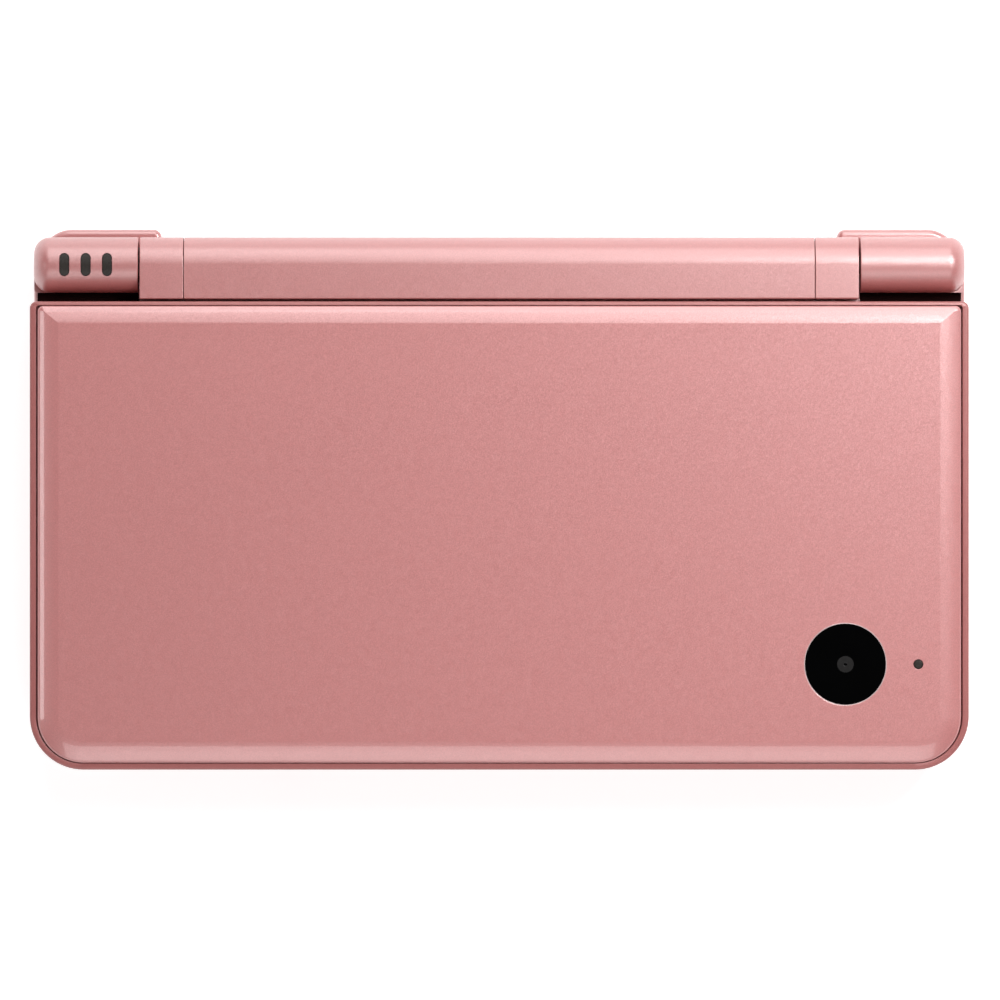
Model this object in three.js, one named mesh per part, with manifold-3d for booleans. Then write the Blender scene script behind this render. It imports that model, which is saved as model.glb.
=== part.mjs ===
// Clamshell handheld game console, closed, with its lid hinged along the back.
// Lengths are millimetres. The origin lies under the middle of the closed console, on the surface it rests on.
// +X runs along the hinge, +Y towards the hinge at the back, +Z up.

import * as THREE from "three";
import { mergeVertices } from "three/addons/utils/BufferGeometryUtils.js";
import Module from "manifold-3d";

const wasm = await Module();
wasm.setup();

// Overall sizes of the closed console

const shoulderProud = 1.4; // shoulder buttons behind the back of the hinge
const footHeight = 0.5;
const closedGap = 1.2; // between the two inner faces
const lidThickness = 8.2;

// Clearances and cuts

const snugGap = 0.1; // beside pieces that lie still
const movingGap = 0.3; // beside pieces that move
const overrun = 3; // a cutter's reach past the face it opens
const mergeReach = 0.0001; // vertices nearer than this are one

// Hinge

const hingeRadius = 4.8;
const hingeRise = 2.4; // axis above the inner face of the base
const knuckleLength = 18; // each knuckle, out to the side of the base
const collarLength = 7.5; // each end piece of the barrel
const barrelFlat = 5.8; // the flat top runs this far in front of the axis
const barrelBore = 3.5; // radius
const rimStandOff = 0.43; // barrel to the lid's back rim
const neckHeight = 2.8;
const troughClearance = 0.4;
const troughWall = 1.2;
const lipDrop = 1.8; // back lip of the trough below the inner face
const knuckleEndRadius = 2.7;
const knuckleFrontRadius = 0.6;
const pinShaftRadius = 1.5;
const pinKeyRadius = 2.6;
const pinKeyLength = 6;
const tubeRadius = 3;
const tubeWall = 0.8;
const tubeSeat = 4;

// Lid

const rimWidth = 1.1;
const backRimWidth = 0.6;
const rimEdge = 0.4;
const lidFrontRadius = 9.2;
const lidBackRadius = 1.2;
const lidFloor = 1.4;
const coverGap = 0.25;
const coverRise = 1.2; // cover's top above the rim
const coverDepth = 2.8; // cover's top down to its seat
const coverSeatWidth = 1.2;
const coverWall = 1.2;
const coverSkin = 1.4;
const coverEdge = 0.85;
const coverEdgeHeight = 0.5;

// Base casing

const baseInset = 0.5; // the base stands in from the lid all round
const backWallInset = 0.6; // back wall in front of the back of the hinge
const baseBackRadius = 3;
const baseWall = 1.4;
const faceSkin = 1.4;
const floorSkin = 1.6;
const partingRise = 0.2; // parting line above the game card's room
const faceEdge = 0.8;
const floorEdge = 2;

// Screens

const windowWidth = 92;
const windowDepth = 68;
const windowRadius = 2;
const windowSkin = 0.8;
const windowLedge = 1.5;
const windowGap = 0.15;
const frontBorder = 6.9; // base's front edge to the touch window
const backBorder = 11.2; // touch window to the hinge axis
const controlBay = 34; // touch window to the side of the base
const displayThickness = 2.5;
const displayOverlap = 0.5; // display past the opening it shows through

// Lid fittings

const speakerRadius = 7;
const speakerHeight = 3;
const speakerInset = 19; // from the lid's side
const speakerHoleRadius = 0.8;
const speakerRingRadius = 3.8;
const cameraInset = 21.2; // from the lid's side
const cameraSetBack = 18.1; // from the lid's front edge
const cameraRadius = 7.05;
const cameraPlate = 0.8;
const lensRadius = 2.2;
const lensBodyRadius = 4;
const lensBodyHeight = 2.4;
const lightInset = 8.7;
const lightRadius = 0.75;
const lightFlange = 0.8;
const eyeRadius = 1.8;
const eyeBodyRadius = 2.6;
const eyeBodyHeight = 2.7;
const eyeSink = 0.2;
const micOffset = 16;
const micHoleRadius = 0.6;
const micRadius = 2;
const micHeight = 1.2;
const magnetWidth = 8;
const magnetDepth = 4;
const magnetHeight = 2;
const bumperRadius = 2;
const bumperInset = 9;

// Controls

const controlShift = 7; // thumb areas behind the middle of the touch window
const keyProud = 0.7;
const keyRadius = 4;
const keyPitch = 7.4; // each action key from their middle
const keyFlange = 0.7;
const keyFlangeHeight = 0.8;
const keyEdge = 0.35;
const smallKeyRadius = 2.4;
const smallKeyProud = 0.4;
const smallKeyOffset = 11.5; // from the side of the touch window
const smallKeySetBack = 20.9;
const smallKeyPitch = 8;
const padLength = 20;
const padWidth = 7;
const padProud = 0.5;
const padFlangeRadius = 8.5;
const padFlangeHeight = 0.6;
const padFlangeDrop = 0.7; // top of its flange below the casing's skin
const padGap = 0.45;
const padEdge = 0.4;
const nubRadius = 1.2;
const matMargin = 4; // mat to the touch window, and to the side of the base
const matReach = 4.5; // mat in front of the foremost key
const matThickness = 0.5;

// Shoulder buttons

const shoulderOverlap = 3.8; // shoulder button inside the knuckle's inner end
const shoulderSideInset = 0.4;
const shoulderFrontReach = 1.8; // in front of the hinge axis
const shoulderInnerRadius = 1.3;
const shoulderBend = 5.2; // length of the bend round the corner
const shoulderBendDepth = 3.9;
const shoulderPinRadius = 1;
const shoulderPinInset = 2.3;
const pocketReach = 3.9; // in front of the hinge axis
const pocketMargin = 0.6;

// Stylus

const stylusRadius = 1.75;
const stylusLength = 96;
const stylusTipLength = 7;
const stylusTipRadius = 0.5;
const stylusHeadLength = 6;
const stylusNeckCut = 0.3;
const stylusSetForward = 8.8; // in front of the hinge axis
const stylusBoreGap = 0.2;
const channelWall = 0.8;

// Volume rocker

const rockerLength = 17;
const rockerHeight = 2;
const rockerProud = 0.4;
const rockerSetForward = 23; // in front of the hinge axis
const rockerRise = 1.1; // above the parting line
const rockerFlange = 1;
const rockerFlangeThickness = 0.9;
const rockerFlangeGap = 0.7;

// Inside the base

const cardWidth = 33.6;
const cardHeight = 4.3;
const cardDepth = 35.2;
const socketWall = 1.8;
const socketSkin = 0.4;
const boardThickness = 1;
const boardMargin = 5;
const postRadius = 2;
const batterySide = 6; // battery to each side of its hatch
const batteryEnd = 3; // battery to the front and back of its hatch
const batteryHeight = 4.4;
const hatchWidth = 58;
const hatchSkin = 1;
const hatchRadius = 2;
const hatchSetBack = 6.9; // from the front of the base
const hatchClearance = 2.4; // hatch to the card socket
const screwHeadRadius = 1.5;
const screwHeadHeight = 0.5;
const screwShankRadius = 0.7;
const screwLength = 3.6;
const screwInset = 2.6;
const screwBossRadius = 2;
const footRadius = 3.5;
const footRecess = 0.4;
const footInset = 11;

// Sockets in the walls

const doorMargin = 0.9; // door past each end of the card slot
const doorHeight = 3.1;
const doorThickness = 1;
const doorGap = 0.4;
const doorSill = 0.4;
const doorPinRadius = 0.35;
const doorPinLength = 0.8;
const doorPinDepth = 0.7; // pin's middle behind the door's outer face
const doorPinRise = 0.6;
const doorSetForward = 35.2; // in front of the hinge axis
const sdWidth = 24.2;
const sdHeight = 2.3;
const sdDepth = 31;
const chargerOffset = 34;
const chargerWidth = 8;
const chargerHeight = 2.8;
const chargerDepth = 9;
const chargerWall = 1;
const bladeWidth = 5;
const bladeHeight = 0.8;
const jackInset = 10; // from the side of the touch window
const jackRadius = 1.75;
const jackNoseWall = 0.35;
const jackWidth = 8;
const jackDepth = 12;

// Status lights

const statusWidth = 1.54;
const statusLength = 3.8;
const statusPitch = 3.66;
const statusInset = 5.4; // outermost light from the side of the base
const statusDepth = 1.4;
const statusSink = 0.05;

// Numbers of facets

const cornerSteps = 4;
const edgeSteps = 2;
const barrelSides = 32;
const keySides = 20;
const smallSides = 12;
const keySidesHex = 6;
const speakerHoles = 6;

// Heights

const baseBottom = footHeight;
const floorTop = baseBottom + floorSkin;
const parting = floorTop + cardHeight + partingRise;
const boardUnder = floorTop + cardHeight + socketSkin + snugGap;
const boardTop = boardUnder + boardThickness;
const matTop = boardTop + matThickness;
const faceUnder = boardTop + displayThickness;
const baseFace = faceUnder + faceSkin;
const lidFace = baseFace + closedGap;
const lidTop = lidFace + lidThickness;
const axisZ = baseFace + hingeRise;
const rimTop = lidTop - coverRise;
const coverSeat = lidTop - coverDepth;
const coverUnder = lidTop - coverSkin;
const lidFloorTop = lidFace + lidFloor;
const troughRadius = hingeRadius + troughClearance;
const pocketTop = axisZ - troughRadius - troughWall;

// Widths and depths: the case goes round its screens and the controls beside them

const baseHalf = windowWidth / 2 + controlBay;
const halfWidth = baseHalf + baseInset;
const caseWidth = 2 * halfWidth;
const caseDepth = baseInset + frontBorder + windowDepth + backBorder + hingeRadius;
const frontEdge = -(caseDepth + shoulderProud) / 2;
const hingeBack = frontEdge + caseDepth;
const shoulderBack = hingeBack + shoulderProud;
const axisY = hingeBack - hingeRadius;
const lidBack = axisY - barrelFlat - rimStandOff;
const knuckleInner = baseHalf - knuckleLength;
const barrelHalf = knuckleInner - movingGap;
const coverHalf = barrelHalf - collarLength;
const baseFront = frontEdge + baseInset;
const baseBack = hingeBack - backWallInset;
const baseFrontRadius = lidFrontRadius - baseInset;
const upperScreenY = (frontEdge + lidBack) / 2;
const lowerScreenY = baseFront + frontBorder + windowDepth / 2;
const controlX = (windowWidth / 2 + baseHalf) / 2;
const jackOffset = windowWidth / 2 - jackInset;
const controlY = lowerScreenY + controlShift;
const stylusY = axisY - stylusSetForward;
const stylusZ = faceUnder - stylusRadius;
const shoulderInnerX = knuckleInner - shoulderOverlap;
const quarter = Math.PI / 2;

// Materials

function finish(color, roughness, metalness) {
  return new THREE.MeshStandardMaterial({ color, roughness, metalness, flatShading: true });
}

const roseMetallic = finish(0xd99494, 0.3, 0.55);
const roseSatin = finish(0xcf8c8b, 0.5, 0.4);
const darkGlass = finish(0x101012, 0.08, 0);
const smokedGlass = finish(0x3c3836, 0.25, 0);
const blackPlastic = finish(0x1d1d1f, 0.5, 0);
const rubberGrey = finish(0x58504f, 0.85, 0);
const steel = finish(0xb6b6ba, 0.35, 0.9);
const boardGreen = finish(0x24533a, 0.6, 0.1);
const batteryGrey = finish(0x8d8f94, 0.6, 0.1);

// Closed geometries as solids, and solids as geometries

function solidOf(geometry) {
  const bare = geometry.clone();
  bare.deleteAttribute("normal");
  bare.deleteAttribute("uv");
  const merged = mergeVertices(bare, mergeReach);
  const vertProperties = merged.attributes.position.array;
  const triVerts = new Uint32Array(merged.index.array);
  return new wasm.Manifold(new wasm.Mesh({ numProp: 3, vertProperties, triVerts }));
}

function geometryOf(body) {
  const { numProp, vertProperties, triVerts } = body.getMesh();
  const geometry = new THREE.BufferGeometry();
  geometry.setAttribute("position", new THREE.BufferAttribute(vertProperties, numProp));
  geometry.setIndex(new THREE.BufferAttribute(triVerts, 1));
  geometry.computeVertexNormals();
  return geometry;
}

function piece(group, name, body, material) {
  const mesh = new THREE.Mesh(geometryOf(body), material);
  mesh.name = name;
  group.add(mesh);
  return mesh;
}

// Basic solids, given by their faces

function block(left, right, front, back, low, high) {
  const box = new THREE.BoxGeometry(right - left, back - front, high - low);
  box.translate((left + right) / 2, (front + back) / 2, (low + high) / 2);
  return solidOf(box);
}

function post(radius, low, high, x, y, sides = keySides) {
  const cylinder = new THREE.CylinderGeometry(radius, radius, high - low, sides);
  cylinder.rotateX(quarter);
  cylinder.translate(x, y, (low + high) / 2);
  return solidOf(cylinder);
}

function roller(radius, left, right, y, z, sides = barrelSides) {
  const cylinder = new THREE.CylinderGeometry(radius, radius, right - left, sides);
  cylinder.rotateZ(quarter);
  cylinder.translate((left + right) / 2, y, z);
  return solidOf(cylinder);
}

function plunger(radius, front, back, x, z, sides = smallSides) {
  const cylinder = new THREE.CylinderGeometry(radius, radius, back - front, sides);
  cylinder.translate(x, (front + back) / 2, z);
  return solidOf(cylinder);
}

// A body turned about Z from a profile of radius and height
function turned(profile, sides = keySides) {
  const points = profile.map(([radius, height]) => new THREE.Vector2(radius, height));
  const lathe = new THREE.LatheGeometry(points, sides);
  lathe.rotateX(quarter);
  return solidOf(lathe);
}

// The same about X, at the given place
function turnedAlongX(profile, y, z, sides = barrelSides) {
  const points = profile.map(([radius, x]) => new THREE.Vector2(radius, x));
  const lathe = new THREE.LatheGeometry(points, sides);
  lathe.rotateZ(-quarter);
  lathe.translate(0, y, z);
  return solidOf(lathe);
}

// Outlines seen from above

function roundedOutline(left, right, front, back, frontRadius, backRadius) {
  const outline = new THREE.Shape();
  outline.moveTo(left + frontRadius, front);
  outline.lineTo(right - frontRadius, front);
  outline.absarc(right - frontRadius, front + frontRadius, frontRadius, -quarter, 0);
  outline.lineTo(right, back - backRadius);
  outline.absarc(right - backRadius, back - backRadius, backRadius, 0, quarter);
  outline.lineTo(left + backRadius, back);
  outline.absarc(left + backRadius, back - backRadius, backRadius, quarter, 2 * quarter);
  outline.lineTo(left, front + frontRadius);
  outline.absarc(left + frontRadius, front + frontRadius, frontRadius, 2 * quarter, 3 * quarter);
  return outline;
}

function centredOutline(width, depth, radius, y) {
  return roundedOutline(-width / 2, width / 2, y - depth / 2, y + depth / 2, radius, radius);
}

function capsuleOutline(width, length) {
  return centredOutline(width, length, width / 2 - mergeReach, 0);
}

function slab(outline, low, high) {
  const extruded = new THREE.ExtrudeGeometry(outline, {
    depth: high - low,
    curveSegments: cornerSteps,
    bevelEnabled: false,
  });
  extruded.translate(0, 0, low);
  return solidOf(extruded);
}

// A slab whose top and bottom edges are rounded over
function softSlab(outline, low, high, edge, edgeHeight = edge) {
  const extruded = new THREE.ExtrudeGeometry(outline, {
    depth: high - low - 2 * edgeHeight,
    curveSegments: cornerSteps,
    bevelSize: edge,
    bevelOffset: -edge,
    bevelThickness: edgeHeight,
    bevelSegments: edgeSteps,
  });
  extruded.translate(0, 0, low + edgeHeight);
  return solidOf(extruded);
}

// A bar along X with a section in Y and Z
function bar(section, left, right) {
  const extruded = new THREE.ExtrudeGeometry(section, {
    depth: right - left,
    curveSegments: cornerSteps,
    bevelEnabled: false,
  });
  const alongX = new THREE.Matrix4().makeBasis(
    new THREE.Vector3(0, 1, 0),
    new THREE.Vector3(0, 0, 1),
    new THREE.Vector3(1, 0, 0),
  );
  extruded.applyMatrix4(alongX);
  extruded.translate(left, 0, 0);
  return solidOf(extruded);
}

// Everything above or below a level, over the whole console

function above(level) {
  return block(-caseWidth, caseWidth, -caseWidth, caseWidth, level, level + caseWidth);
}

function below(level) {
  return block(-caseWidth, caseWidth, -caseWidth, caseWidth, level - caseWidth, level);
}

// Groups

const handheld = new THREE.Group();
const lid = new THREE.Group();
const hinge = new THREE.Group();
const base = new THREE.Group();
handheld.add(base, hinge, lid);

// Barrel section: round behind and below the axis, flat on top, square where it meets the lid
function barrelSection() {
  const section = new THREE.Shape();
  const faceDrop = axisZ - lidFace;
  const meeting = Math.PI + Math.asin(faceDrop / hingeRadius);
  section.moveTo(axisY - barrelFlat, lidFace);
  section.lineTo(axisY + hingeRadius * Math.cos(meeting), lidFace);
  section.absarc(axisY, axisZ, hingeRadius, meeting, 5 * quarter);
  section.lineTo(axisY - barrelFlat, axisZ + hingeRadius);
  section.closePath();
  return section;
}

function barrelBar(left, right) {
  return bar(barrelSection(), left, right);
}

// Lid frame: the rim, the inner face and the lower half of the barrel

function lidOutline(inset, backInset) {
  return roundedOutline(
    -halfWidth + inset,
    halfWidth - inset,
    frontEdge + inset,
    lidBack - backInset,
    lidFrontRadius - inset,
    lidBackRadius,
  );
}

function barrelLowerHalf() {
  const reach = coverHalf - snugGap;
  const underside = barrelBar(-reach, reach).subtract(above(axisZ));
  const neck = block(-reach, reach, lidBack - backRimWidth, axisY - barrelBore, lidFace, lidFace + neckHeight);
  return underside.add(neck).subtract(roller(barrelBore, -halfWidth, halfWidth, axisY, axisZ));
}

function speakerGrille(x) {
  let holes = post(speakerHoleRadius, lidFace - overrun, lidFace + overrun, x, upperScreenY, smallSides);
  for (let index = 0; index < speakerHoles; index += 1) {
    const angle = (index / speakerHoles) * 4 * quarter;
    const holeX = x + speakerRingRadius * Math.cos(angle);
    const holeY = upperScreenY + speakerRingRadius * Math.sin(angle);
    holes = holes.add(post(speakerHoleRadius, lidFace - overrun, lidFace + overrun, holeX, holeY, smallSides));
  }
  return holes;
}

const speakerX = halfWidth - speakerInset;

function lidFrame() {
  const seatInset = rimWidth + coverSeatWidth;
  const backInset = backRimWidth + coverSeatWidth;
  let frame = softSlab(lidOutline(0, 0), lidFace, rimTop, rimEdge);
  frame = frame.subtract(slab(lidOutline(rimWidth, backRimWidth), coverSeat, rimTop + overrun));
  frame = frame.subtract(slab(lidOutline(seatInset, backInset), lidFloorTop, coverSeat + overrun));
  frame = frame.add(barrelLowerHalf());
  const recess = centredOutline(windowWidth, windowDepth, windowRadius, upperScreenY);
  const opening = centredOutline(
    windowWidth - 2 * windowLedge,
    windowDepth - 2 * windowLedge,
    windowRadius,
    upperScreenY,
  );
  frame = frame.subtract(slab(recess, lidFace - overrun, lidFace + windowSkin));
  frame = frame.subtract(slab(opening, lidFace - overrun, lidFloorTop + overrun));
  for (const side of [-1, 1]) {
    frame = frame.subtract(speakerGrille(side * speakerX));
  }
  const eyeHole = post(eyeRadius + snugGap, axisZ - hingeRadius - overrun, axisZ - eyeRadius, 0, axisY);
  const micHole = post(micHoleRadius, axisZ - hingeRadius - overrun, axisZ, micOffset, axisY, smallSides);
  return frame.subtract(eyeHole).subtract(micHole);
}

piece(lid, "lid_frame", lidFrame(), roseSatin);

// Lid cover: a tray turned upside down, with the camera's round recess

const cameraX = halfWidth - cameraInset;
const cameraY = frontEdge + cameraSetBack;
const lightX = halfWidth - lightInset;

function lidCover() {
  const inset = rimWidth + coverGap;
  const backInset = backRimWidth + coverGap;
  const outline = lidOutline(inset, backInset);
  let cover = softSlab(outline, coverSeat - coverEdgeHeight, lidTop, coverEdge, coverEdgeHeight);
  cover = cover.subtract(below(coverSeat));
  const pocket = lidOutline(inset + coverWall, backInset + coverWall);
  cover = cover.subtract(slab(pocket, coverSeat - overrun, coverUnder));
  const cameraSeat = post(cameraRadius, lidTop - cameraPlate, lidTop + overrun, cameraX, cameraY, barrelSides);
  const lensHole = post(lensRadius + snugGap, coverUnder - overrun, lidTop, cameraX, cameraY);
  const lightHole = post(lightRadius + snugGap, coverUnder - overrun, lidTop + overrun, lightX, cameraY, smallSides);
  return cover.subtract(cameraSeat).subtract(lensHole).subtract(lightHole);
}

piece(lid, "lid_cover", lidCover(), roseMetallic);

// Barrel cover and the two collars at its ends

function barrelCover() {
  const joint = axisZ + snugGap;
  const neckTop = lidFace + neckHeight + snugGap;
  const neckBack = axisY - barrelBore + snugGap;
  return barrelBar(-coverHalf + snugGap, coverHalf - snugGap)
    .subtract(below(joint))
    .subtract(block(-halfWidth, halfWidth, lidBack, neckBack, lidFace - overrun, neckTop))
    .subtract(roller(barrelBore, -halfWidth, halfWidth, axisY, axisZ));
}

piece(lid, "barrel_cover", barrelCover(), roseSatin);

for (const [name, left] of [["barrel_collar_left", -barrelHalf], ["barrel_collar_right", coverHalf]]) {
  const bore = roller(barrelBore, -halfWidth, halfWidth, axisY, axisZ);
  piece(lid, name, barrelBar(left, left + collarLength).subtract(bore), roseSatin);
}

// Window and display of one screen, in the face of the lid or the base

function screenWindow(low, high, y) {
  const width = windowWidth - 2 * windowGap;
  const depth = windowDepth - 2 * windowGap;
  return slab(centredOutline(width, depth, windowRadius, y), low, high);
}

function displayPanel(low, high, y) {
  const halfX = windowWidth / 2 - windowLedge + displayOverlap;
  const halfY = windowDepth / 2 - windowLedge + displayOverlap;
  return block(-halfX, halfX, y - halfY, y + halfY, low, high);
}

piece(lid, "upper_window", screenWindow(lidFace, lidFace + windowSkin, upperScreenY), darkGlass);
piece(lid, "upper_display", displayPanel(lidFloorTop, lidFloorTop + displayThickness, upperScreenY), blackPlastic);

// Speakers beside the upper display

for (const [name, side] of [["speaker_left", -1], ["speaker_right", 1]]) {
  const speaker = piece(lid, name, post(speakerRadius, lidFloorTop, lidFloorTop + speakerHeight, 0, 0), blackPlastic);
  speaker.position.set(side * speakerX, upperScreenY, 0);
}

// Outer camera: a round glass plate in the cover, the lens behind it and its indicator light

const plateBottom = lidTop - cameraPlate;
const cameraPlateSolid = post(cameraRadius - snugGap, plateBottom, lidTop, 0, 0, barrelSides);
const cameraWindow = piece(lid, "outer_camera_window", cameraPlateSolid, darkGlass);
cameraWindow.position.set(cameraX, cameraY, 0);

const lensProfile = [
  [0, coverUnder - lensBodyHeight],
  [lensBodyRadius, coverUnder - lensBodyHeight],
  [lensBodyRadius, coverUnder],
  [lensRadius, coverUnder],
  [lensRadius, plateBottom],
  [0, plateBottom],
];
const cameraLens = piece(lid, "outer_camera_lens", turned(lensProfile), blackPlastic);
cameraLens.position.set(cameraX, cameraY, 0);

const lightProfile = [
  [0, coverUnder - lightFlange],
  [2 * lightRadius, coverUnder - lightFlange],
  [2 * lightRadius, coverUnder],
  [lightRadius, coverUnder],
  [lightRadius, lidTop],
  [0, lidTop],
];
const cameraLight = piece(lid, "outer_camera_light", turned(lightProfile, smallSides), smokedGlass);
cameraLight.position.set(lightX, cameraY, 0);

// Inner camera and microphone, in the lower half of the barrel

const eyeShoulder = axisZ - Math.sqrt(barrelBore ** 2 - eyeBodyRadius ** 2) + snugGap;
const eyeProfile = [
  [0, axisZ - hingeRadius + eyeSink],
  [eyeRadius, axisZ - hingeRadius + eyeSink],
  [eyeRadius, eyeShoulder],
  [eyeBodyRadius, eyeShoulder],
  [eyeBodyRadius, eyeShoulder + eyeBodyHeight],
  [0, eyeShoulder + eyeBodyHeight],
];
const innerCamera = piece(lid, "inner_camera", turned(eyeProfile), darkGlass);
innerCamera.position.y = axisY;

const micBottom = axisZ - Math.sqrt(barrelBore ** 2 - micRadius ** 2) + snugGap;
const microphone = piece(lid, "microphone", post(micRadius, micBottom, micBottom + micHeight, 0, 0), blackPlastic);
microphone.position.set(micOffset, axisY, 0);

// Magnet that tells the base when the lid is shut, and the four bumpers of the lid

const magnetX = -(halfWidth - bumperInset - 2 * bumperRadius - magnetWidth / 2);
const magnetY = frontEdge + bumperInset;
piece(
  lid,
  "lid_magnet",
  block(
    magnetX - magnetWidth / 2,
    magnetX + magnetWidth / 2,
    magnetY - magnetDepth / 2,
    magnetY + magnetDepth / 2,
    lidFloorTop,
    lidFloorTop + magnetHeight,
  ),
  steel,
);

const bumperPlaces = {
  lid_bumper_front_left: [-1, frontEdge + bumperInset],
  lid_bumper_front_right: [1, frontEdge + bumperInset],
  lid_bumper_back_left: [-1, lidBack - bumperInset],
  lid_bumper_back_right: [1, lidBack - bumperInset],
};
for (const [name, [side, y]] of Object.entries(bumperPlaces)) {
  const bumper = piece(lid, name, post(bumperRadius, baseFace + snugGap, lidFace, 0, 0, smallSides), rubberGrey);
  bumper.position.set(side * (halfWidth - bumperInset), y, 0);
}

// Hinge: a sprung cartridge and its keyed pin on the right, a tube for the cables on the left

const cartridge = roller(barrelBore - snugGap, coverHalf + snugGap, barrelHalf - snugGap, axisY, axisZ);
const cartridgeBore = roller(pinShaftRadius + snugGap, coverHalf - overrun, barrelHalf + overrun, axisY, axisZ);
piece(hinge, "hinge_cartridge", cartridge.subtract(cartridgeBore), steel);

const pinShaft = roller(pinShaftRadius, coverHalf + movingGap, knuckleInner + pinKeyLength, axisY, axisZ);
const pinKey = roller(pinKeyRadius, knuckleInner, knuckleInner + pinKeyLength, axisY, axisZ, keySidesHex);
piece(hinge, "hinge_pin", pinShaft.add(pinKey), steel);

const tubeLeft = -(knuckleInner + tubeSeat);
const cableTube = roller(tubeRadius, tubeLeft, -coverHalf - movingGap, axisY, axisZ);
const cableBore = roller(tubeRadius - tubeWall, tubeLeft - overrun, -coverHalf + overrun, axisY, axisZ);
piece(hinge, "hinge_tube", cableTube.subtract(cableBore), steel);

// Base casing: outlines shared by its two shells

function baseOutline(inset) {
  return roundedOutline(
    -baseHalf + inset,
    baseHalf - inset,
    baseFront + inset,
    baseBack - inset,
    baseFrontRadius - inset,
    baseBackRadius - inset,
  );
}

// The room behind each corner that a shoulder button swings in
function shoulderPocket(side) {
  const inner = side * (shoulderInnerX - pocketMargin);
  const outer = side * (baseHalf + overrun);
  const left = Math.min(inner, outer);
  const right = Math.max(inner, outer);
  return block(left, right, axisY - pocketReach, hingeBack + overrun, floorTop, pocketTop);
}

// One knuckle of the hinge: a round boss with a rounded outer end, on a foot that joins the casing
function knuckle(side) {
  const outer = baseHalf - snugGap;
  const bend = [];
  for (let step = 0; step <= cornerSteps; step += 1) {
    const angle = (step / cornerSteps) * quarter;
    const radius = hingeRadius - knuckleEndRadius * (1 - Math.cos(angle));
    bend.push([radius, outer - knuckleEndRadius * (1 - Math.sin(angle))]);
  }
  const profile = [[0, knuckleInner], [hingeRadius, knuckleInner], ...bend, [0, outer]];
  const boss = turnedAlongX(profile, axisY, axisZ);
  const footOutline = roundedOutline(
    knuckleInner - knuckleEndRadius,
    outer,
    axisY - hingeRadius,
    hingeBack,
    knuckleFrontRadius,
    knuckleEndRadius,
  );
  const foot = slab(footOutline, pocketTop, axisZ).intersect(
    block(knuckleInner, caseWidth, -caseWidth, caseWidth, 0, caseWidth),
  );
  const whole = boss.add(foot);
  return side > 0 ? whole : whole.mirror([1, 0, 0]);
}

// Status lights in the left knuckle

function statusPrism(gap, low, high) {
  return slab(capsuleOutline(statusWidth + 2 * gap, statusLength + 2 * gap), low, high);
}

const statusFloor = axisZ + hingeRadius - statusDepth;
const statusPlaces = ["status_light_power", "status_light_charge", "status_light_wireless"].map((name, index) => [
  name,
  -(baseHalf - statusInset - index * statusPitch),
]);

// Keys that stand through the upper shell, by name: place, radius and height

const keyPlaces = {
  action_key_right: [controlX + keyPitch, controlY],
  action_key_bottom: [controlX, controlY - keyPitch],
  action_key_top: [controlX, controlY + keyPitch],
  action_key_left: [controlX - keyPitch, controlY],
};
const smallKeyX = windowWidth / 2 + smallKeyOffset;
const smallKeyY = baseFront + smallKeySetBack;
const smallKeyPlaces = {
  start_button: [smallKeyX, smallKeyY + smallKeyPitch],
  select_button: [smallKeyX, smallKeyY],
  power_button: [-smallKeyX, smallKeyY],
};

function padCross(gap, low, high) {
  const half = padLength / 2 + gap;
  const arm = padWidth / 2 + gap;
  const across = block(-half, half, -arm, arm, low, high);
  return across.add(block(-arm, arm, -half, half, low, high));
}

const rockerY = axisY - rockerSetForward;
const rockerZ = parting + rockerRise + rockerHeight / 2;

// Upper shell of the base, with the trough for the lid's barrel

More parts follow.
